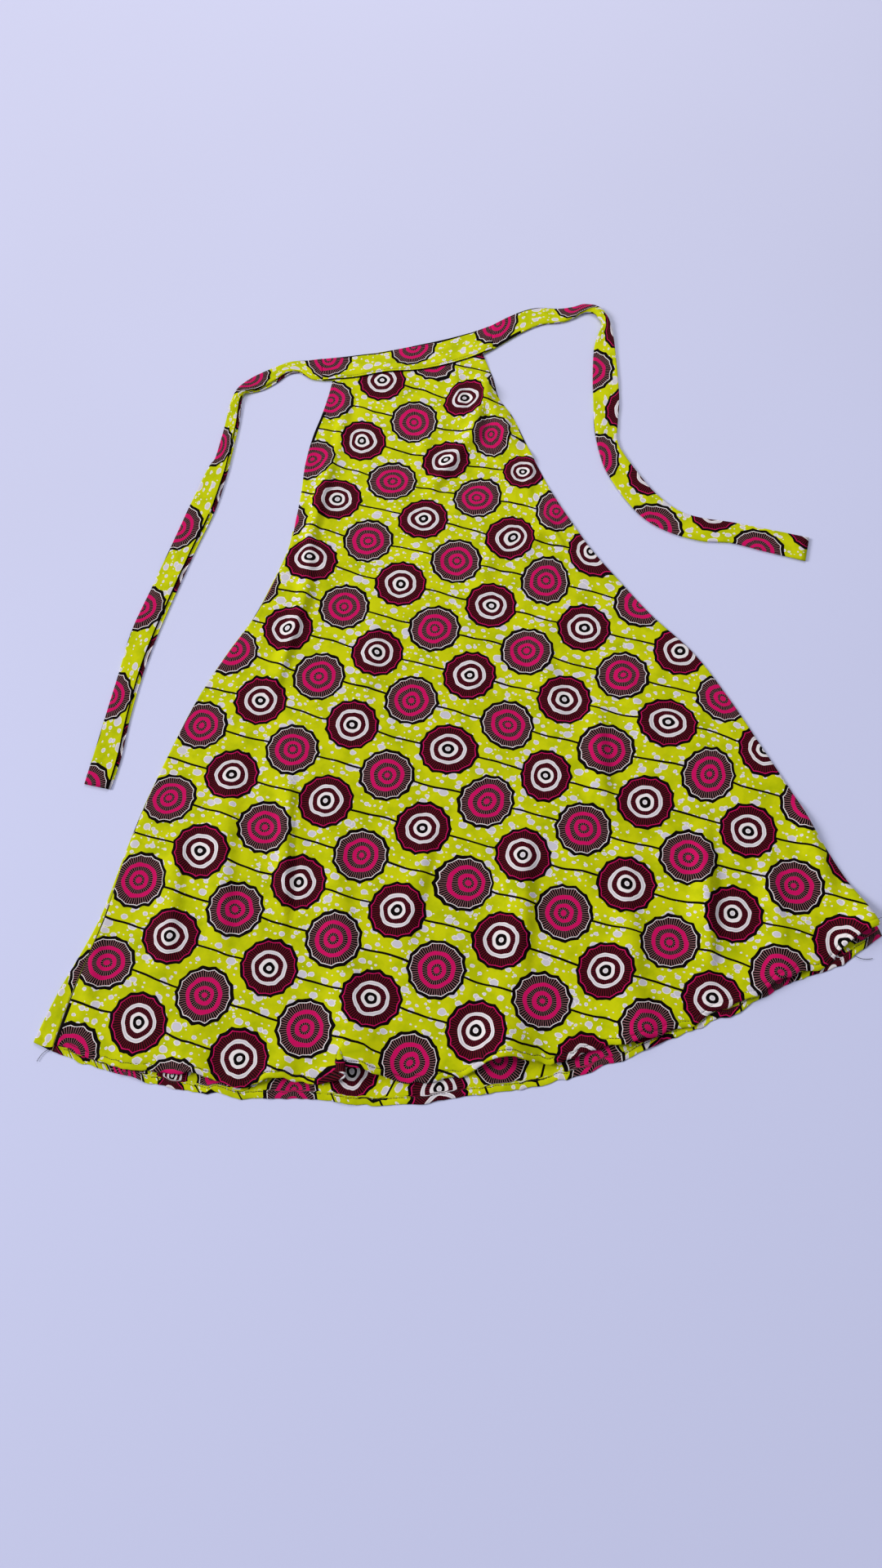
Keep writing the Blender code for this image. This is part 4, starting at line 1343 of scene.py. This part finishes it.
# How far over the rows the white-ringed discs go on, in the print's frame.
NO_SELVEDGE = 100.0
STRIP_SELVEDGE = PINK_DISC[1]  # the strips were cut beside the cloth's edge, past the last row
BACK_SELVEDGE = PINK_DISC[1] + LAST_ROWS * ROW_STEP

THREAD_SPACING = 0.0011  # drawn about twice as coarse as the real weave, so that it shows
WEAVE_HEIGHT = 0.00012
CRINKLES = 150.0  # a metre
CRINKLE_HEIGHT = 6.0  # over a thread's height
TWISTS = 900.0  # the scale of the sewing thread's ridges
TWIST_HEIGHT = 0.0001
# Painted shade: the thread's colour is darkened between its twist's ridges.
TWIST_SHADE = 0.6  # how dark the thread is between its ridges


def wax_cotton(name, selvedge):
    """Wax printed cotton: plain woven, dyed through, then calendered, so it is matt with a faint
    sheen, and crisp enough to hold small creases."""
    group = bpy.data.node_groups.get("wax print") or print_group()
    material = bpy.data.materials.new(name)
    material.use_nodes = True
    tree = material.node_tree
    node = partial(add, tree)
    shader = tree.nodes["Principled BSDF"]
    shader.inputs["Roughness"].default_value = 0.70
    shader.inputs["Specular IOR Level"].default_value = 0.04
    shader.inputs["Sheen Weight"].default_value = 0.01
    shader.inputs["Sheen Roughness"].default_value = 0.5
    cloth = node("UVMap", uv_map="cloth")
    printed = tree.nodes.new("ShaderNodeGroup")
    printed.node_tree = group
    printed.inputs["Selvedge"].default_value = selvedge
    tree.links.new(cloth, printed.inputs["Cloth"])
    tree.links.new(printed.outputs["Colour"], shader.inputs["Base Color"])
    waves = node("VectorMath", cloth, (2 * pi / THREAD_SPACING,) * 3, operation="MULTIPLY")
    warp = node("Math", node("SeparateXYZ", waves), operation="SINE")
    weft = node("Math", node("SeparateXYZ", waves, output=1), operation="SINE")
    weave = node("Math", warp, weft, operation="MULTIPLY")
    crisp = node("TexNoise", cloth, None, CRINKLES, 2.0, 0.5)
    height = node("Math", crisp, CRINKLE_HEIGHT, weave, operation="MULTIPLY_ADD")
    bump = node("Bump", 0.25, WEAVE_HEIGHT, None, height)
    tree.links.new(bump, shader.inputs["Normal"])
    return material


def spun_thread(name, colour):
    """Spun polyester thread: matt, with the twist showing as fine slanting ridges, and painted shade between
    them.
    """
    material = bpy.data.materials.new(name)
    material.use_nodes = True
    tree = material.node_tree
    node = partial(add, tree)
    shader = tree.nodes["Principled BSDF"]
    shader.inputs["Roughness"].default_value = 0.6
    place = node("TexCoord", output=3)
    twist = node("TexWave", place, TWISTS, 2.0, bands_direction="DIAGONAL")
    # Painted shade for the grooves between the ridges.
    darker = tuple(TWIST_SHADE * c for c in colour[:3]) + (1.0,)
    tint = node("MixRGB", twist, darker, tuple(colour))
    tree.links.new(tint, shader.inputs["Base Color"])
    tree.links.new(node("Bump", 0.3, TWIST_HEIGHT, None, twist), shader.inputs["Normal"])
    return material


class DRESS_OT_back(bpy.types.Operator):
    """Builds the back, with its turned-up hem and the strip wrapped round the left side"""

    bl_idname = "dress.back"
    bl_label = "Back"

    def execute(self, context):
        cloth = wax_cotton("wax printed cotton back", BACK_SELVEDGE)
        back = back_piece()
        dress_piece(back, "back_panel", cloth)
        return {"FINISHED"}


class DRESS_OT_front(bpy.types.Operator):
    """Builds the front, with its folds and rippling hem"""

    bl_idname = "dress.front"
    bl_label = "Front"

    def execute(self, context):
        cloth = wax_cotton("wax printed cotton front", NO_SELVEDGE)
        front = front_piece()
        dress_piece(front, "front_panel", cloth)
        return {"FINISHED"}


class DRESS_OT_band(bpy.types.Operator):
    """Builds the folded neck band"""

    bl_idname = "dress.band"
    bl_label = "Neck band"

    def execute(self, context):
        cloth = wax_cotton("wax printed cotton band", STRIP_SELVEDGE)
        dress_piece(band_piece(), "neck_band", cloth)
        return {"FINISHED"}


class DRESS_OT_ties(bpy.types.Operator):
    """Builds the two folded neck ties"""

    bl_idname = "dress.ties"
    bl_label = "Neck ties"

    def execute(self, context):
        cloth = wax_cotton("wax printed cotton ties", STRIP_SELVEDGE)
        lines, faces = LEFT_THREAD_AND_SHADE, LEFT_THREAD_AND_SHADE_FACES
        left = tie_piece("tie_left", LEFT_TIE, LEFT_MARKS, None, True, lines, faces)
        dress_piece(left, "left_tie", cloth)
        lines, faces = RIGHT_THREAD_AND_SHADE, RIGHT_THREAD_AND_SHADE_FACES
        right = tie_piece("tie_right", RIGHT_TIE, RIGHT_MARKS, RIGHT_TURNS, False, lines, faces)
        dress_piece(right, "right_tie", cloth)
        return {"FINISHED"}


class DRESS_OT_stitches(bpy.types.Operator):
    """Sews the hems and the band"""

    bl_idname = "dress.stitches"
    bl_label = "Stitches"

    def execute(self, context):
        stitches = stitches_piece()
        stitches.data.materials.append(spun_thread("spun thread", context.scene.dress_colours.thread))
        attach(stitches, "root")
        return {"FINISHED"}


FLOOR_HALF = 4.0
FLOOR_BELOW = 0.0002
# Painted light: the floor's colour runs from its far colour to the paler, bluer near one.
NEAR_TO_FAR = (-0.7, 1.3)  # metres along the dress, over which the floor's colour changes
FLOOR_WANDER = 0.8  # metres by which that change wanders
FLOOR_CLOUDS = 1.3  # a metre
ROOM_COLOUR = (0.89, 0.93, 1.0, 1.0)
ROOM_STRENGTH = 0.36

# A far window to the left draws the folds. The near one beyond the neck fades towards the hem.
Lamp = namedtuple("Lamp", "name at size energy colour")
LAMPS = [
    Lamp("left window", (-8.0, 1.4, 4.6), 3.6, 660.0, (1.0, 0.985, 0.955)),
    Lamp("top window", (0.4, 2.6, 2.4), 1.8, 39.0, (1.0, 0.985, 0.955)),
]


def painted_board(far, near):
    """Smooth painted board, plain and matt, with painted light: paler and bluer on the viewer's side, to make
    up for the lamps' falloff there and to give that side its cool light.
    """
    material = bpy.data.materials.new("matt painted board")
    material.use_nodes = True
    tree = material.node_tree
    node = partial(add, tree)
    shader = tree.nodes["Principled BSDF"]
    shader.inputs["Roughness"].default_value = 0.8
    place = node("TexCoord", output=3)
    cloudy = node("TexNoise", place, None, FLOOR_CLOUDS, 2.0)
    cloudy = node("Math", cloudy, 0.5, operation="SUBTRACT")
    across = node("SeparateXYZ", place, output=1)
    across = node("Math", cloudy, FLOOR_WANDER, across, operation="MULTIPLY_ADD")
    # Painted light: the share of the paler, bluer near colour.
    nearer = node("MapRange", across, *NEAR_TO_FAR, 1.0, 0.0, interpolation_type="SMOOTHSTEP")
    tree.links.new(node("MixRGB", nearer, tuple(far), tuple(near)), shader.inputs["Base Color"])
    return material


class DRESS_OT_stage(bpy.types.Operator):
    """Lays the floor and sets the lights and the camera"""

    bl_idname = "dress.stage"
    bl_label = "Stage"

    def execute(self, context):
        scene = context.scene
        bm = bmesh.new()
        at = Matrix.Translation((0.0, 0.0, -FLOOR_BELOW))
        bmesh.ops.create_grid(bm, x_segments=1, y_segments=1, size=FLOOR_HALF, matrix=at)
        floor = linked("floor", bm)
        colours = scene.dress_colours
        floor.data.materials.append(painted_board(colours.surface, colours.surface_near))
        for lamp in LAMPS:
            light = bpy.data.lights.new(lamp.name, "AREA")
            light.shape = "DISK"
            light.size = lamp.size
            light.energy = lamp.energy
            light.color = lamp.colour
            placed = bpy.data.objects.new(lamp.name, light)
            placed.location = lamp.at
            aim = Vector((0.0, 0.0, 0.0)) - placed.location
            placed.rotation_euler = aim.to_track_quat("-Z", "Y").to_euler()
            scene.collection.objects.link(placed)
        world = bpy.data.worlds.new("soft room")
        world.use_nodes = True
        background = world.node_tree.nodes["Background"]
        background.inputs["Color"].default_value = ROOM_COLOUR
        background.inputs["Strength"].default_value = ROOM_STRENGTH
        scene.world = world
        scene.view_settings.view_transform = "Standard"
        camera = bpy.data.objects.new("camera", bpy.data.cameras.new("camera"))
        camera.data.sensor_fit = "VERTICAL"
        camera.data.sensor_height = SENSOR
        camera.data.lens = SENSOR * FOCAL / IMAGE_HEIGHT
        back = (Vector(CAMERA_AT) - Vector(CAMERA_AIM)).normalized()
        right = Vector((0.0, 1.0, 0.0)).cross(back).normalized()
        turned = Matrix((right, back.cross(right), back)).transposed()
        turned = turned @ Matrix.Rotation(-CAMERA_ROLL, 3, "Z")
        camera.matrix_world = Matrix.Translation(CAMERA_AT) @ turned.to_4x4()
        scene.collection.objects.link(camera)
        scene.camera = camera
        return {"FINISHED"}


PARTS = (DRESS_OT_back, DRESS_OT_front, DRESS_OT_band, DRESS_OT_ties, DRESS_OT_stitches, DRESS_OT_stage)


class DRESS_PT_panel(bpy.types.Panel):
    """Lists the dress's pieces, sizes and colours"""

    bl_label = "Wax print dress"
    bl_idname = "DRESS_PT_panel"
    bl_space_type = "VIEW_3D"
    bl_region_type = "UI"
    bl_category = "Dress"

    def draw(self, context):
        for part in PARTS:
            self.layout.operator(part.bl_idname)
        for group in (context.scene.dress_sizes, context.scene.dress_colours):
            for name in group.bl_rna.properties.keys():
                if name not in ("name", "rna_type"):
                    self.layout.prop(group, name)


CLASSES = (DressSizes, DressColours, *PARTS, DRESS_PT_panel)


def register():
    for kind in CLASSES:
        bpy.utils.register_class(kind)
    bpy.types.Scene.dress_sizes = bpy.props.PointerProperty(type=DressSizes)
    bpy.types.Scene.dress_colours = bpy.props.PointerProperty(type=DressColours)


def unregister():
    del bpy.types.Scene.dress_colours
    del bpy.types.Scene.dress_sizes
    for kind in reversed(CLASSES):
        bpy.utils.unregister_class(kind)


def main():
    register()
    for part in PARTS:
        group, operator = part.bl_idname.split(".")
        getattr(getattr(bpy.ops, group), operator)()


if __name__ == "__main__":
    main()
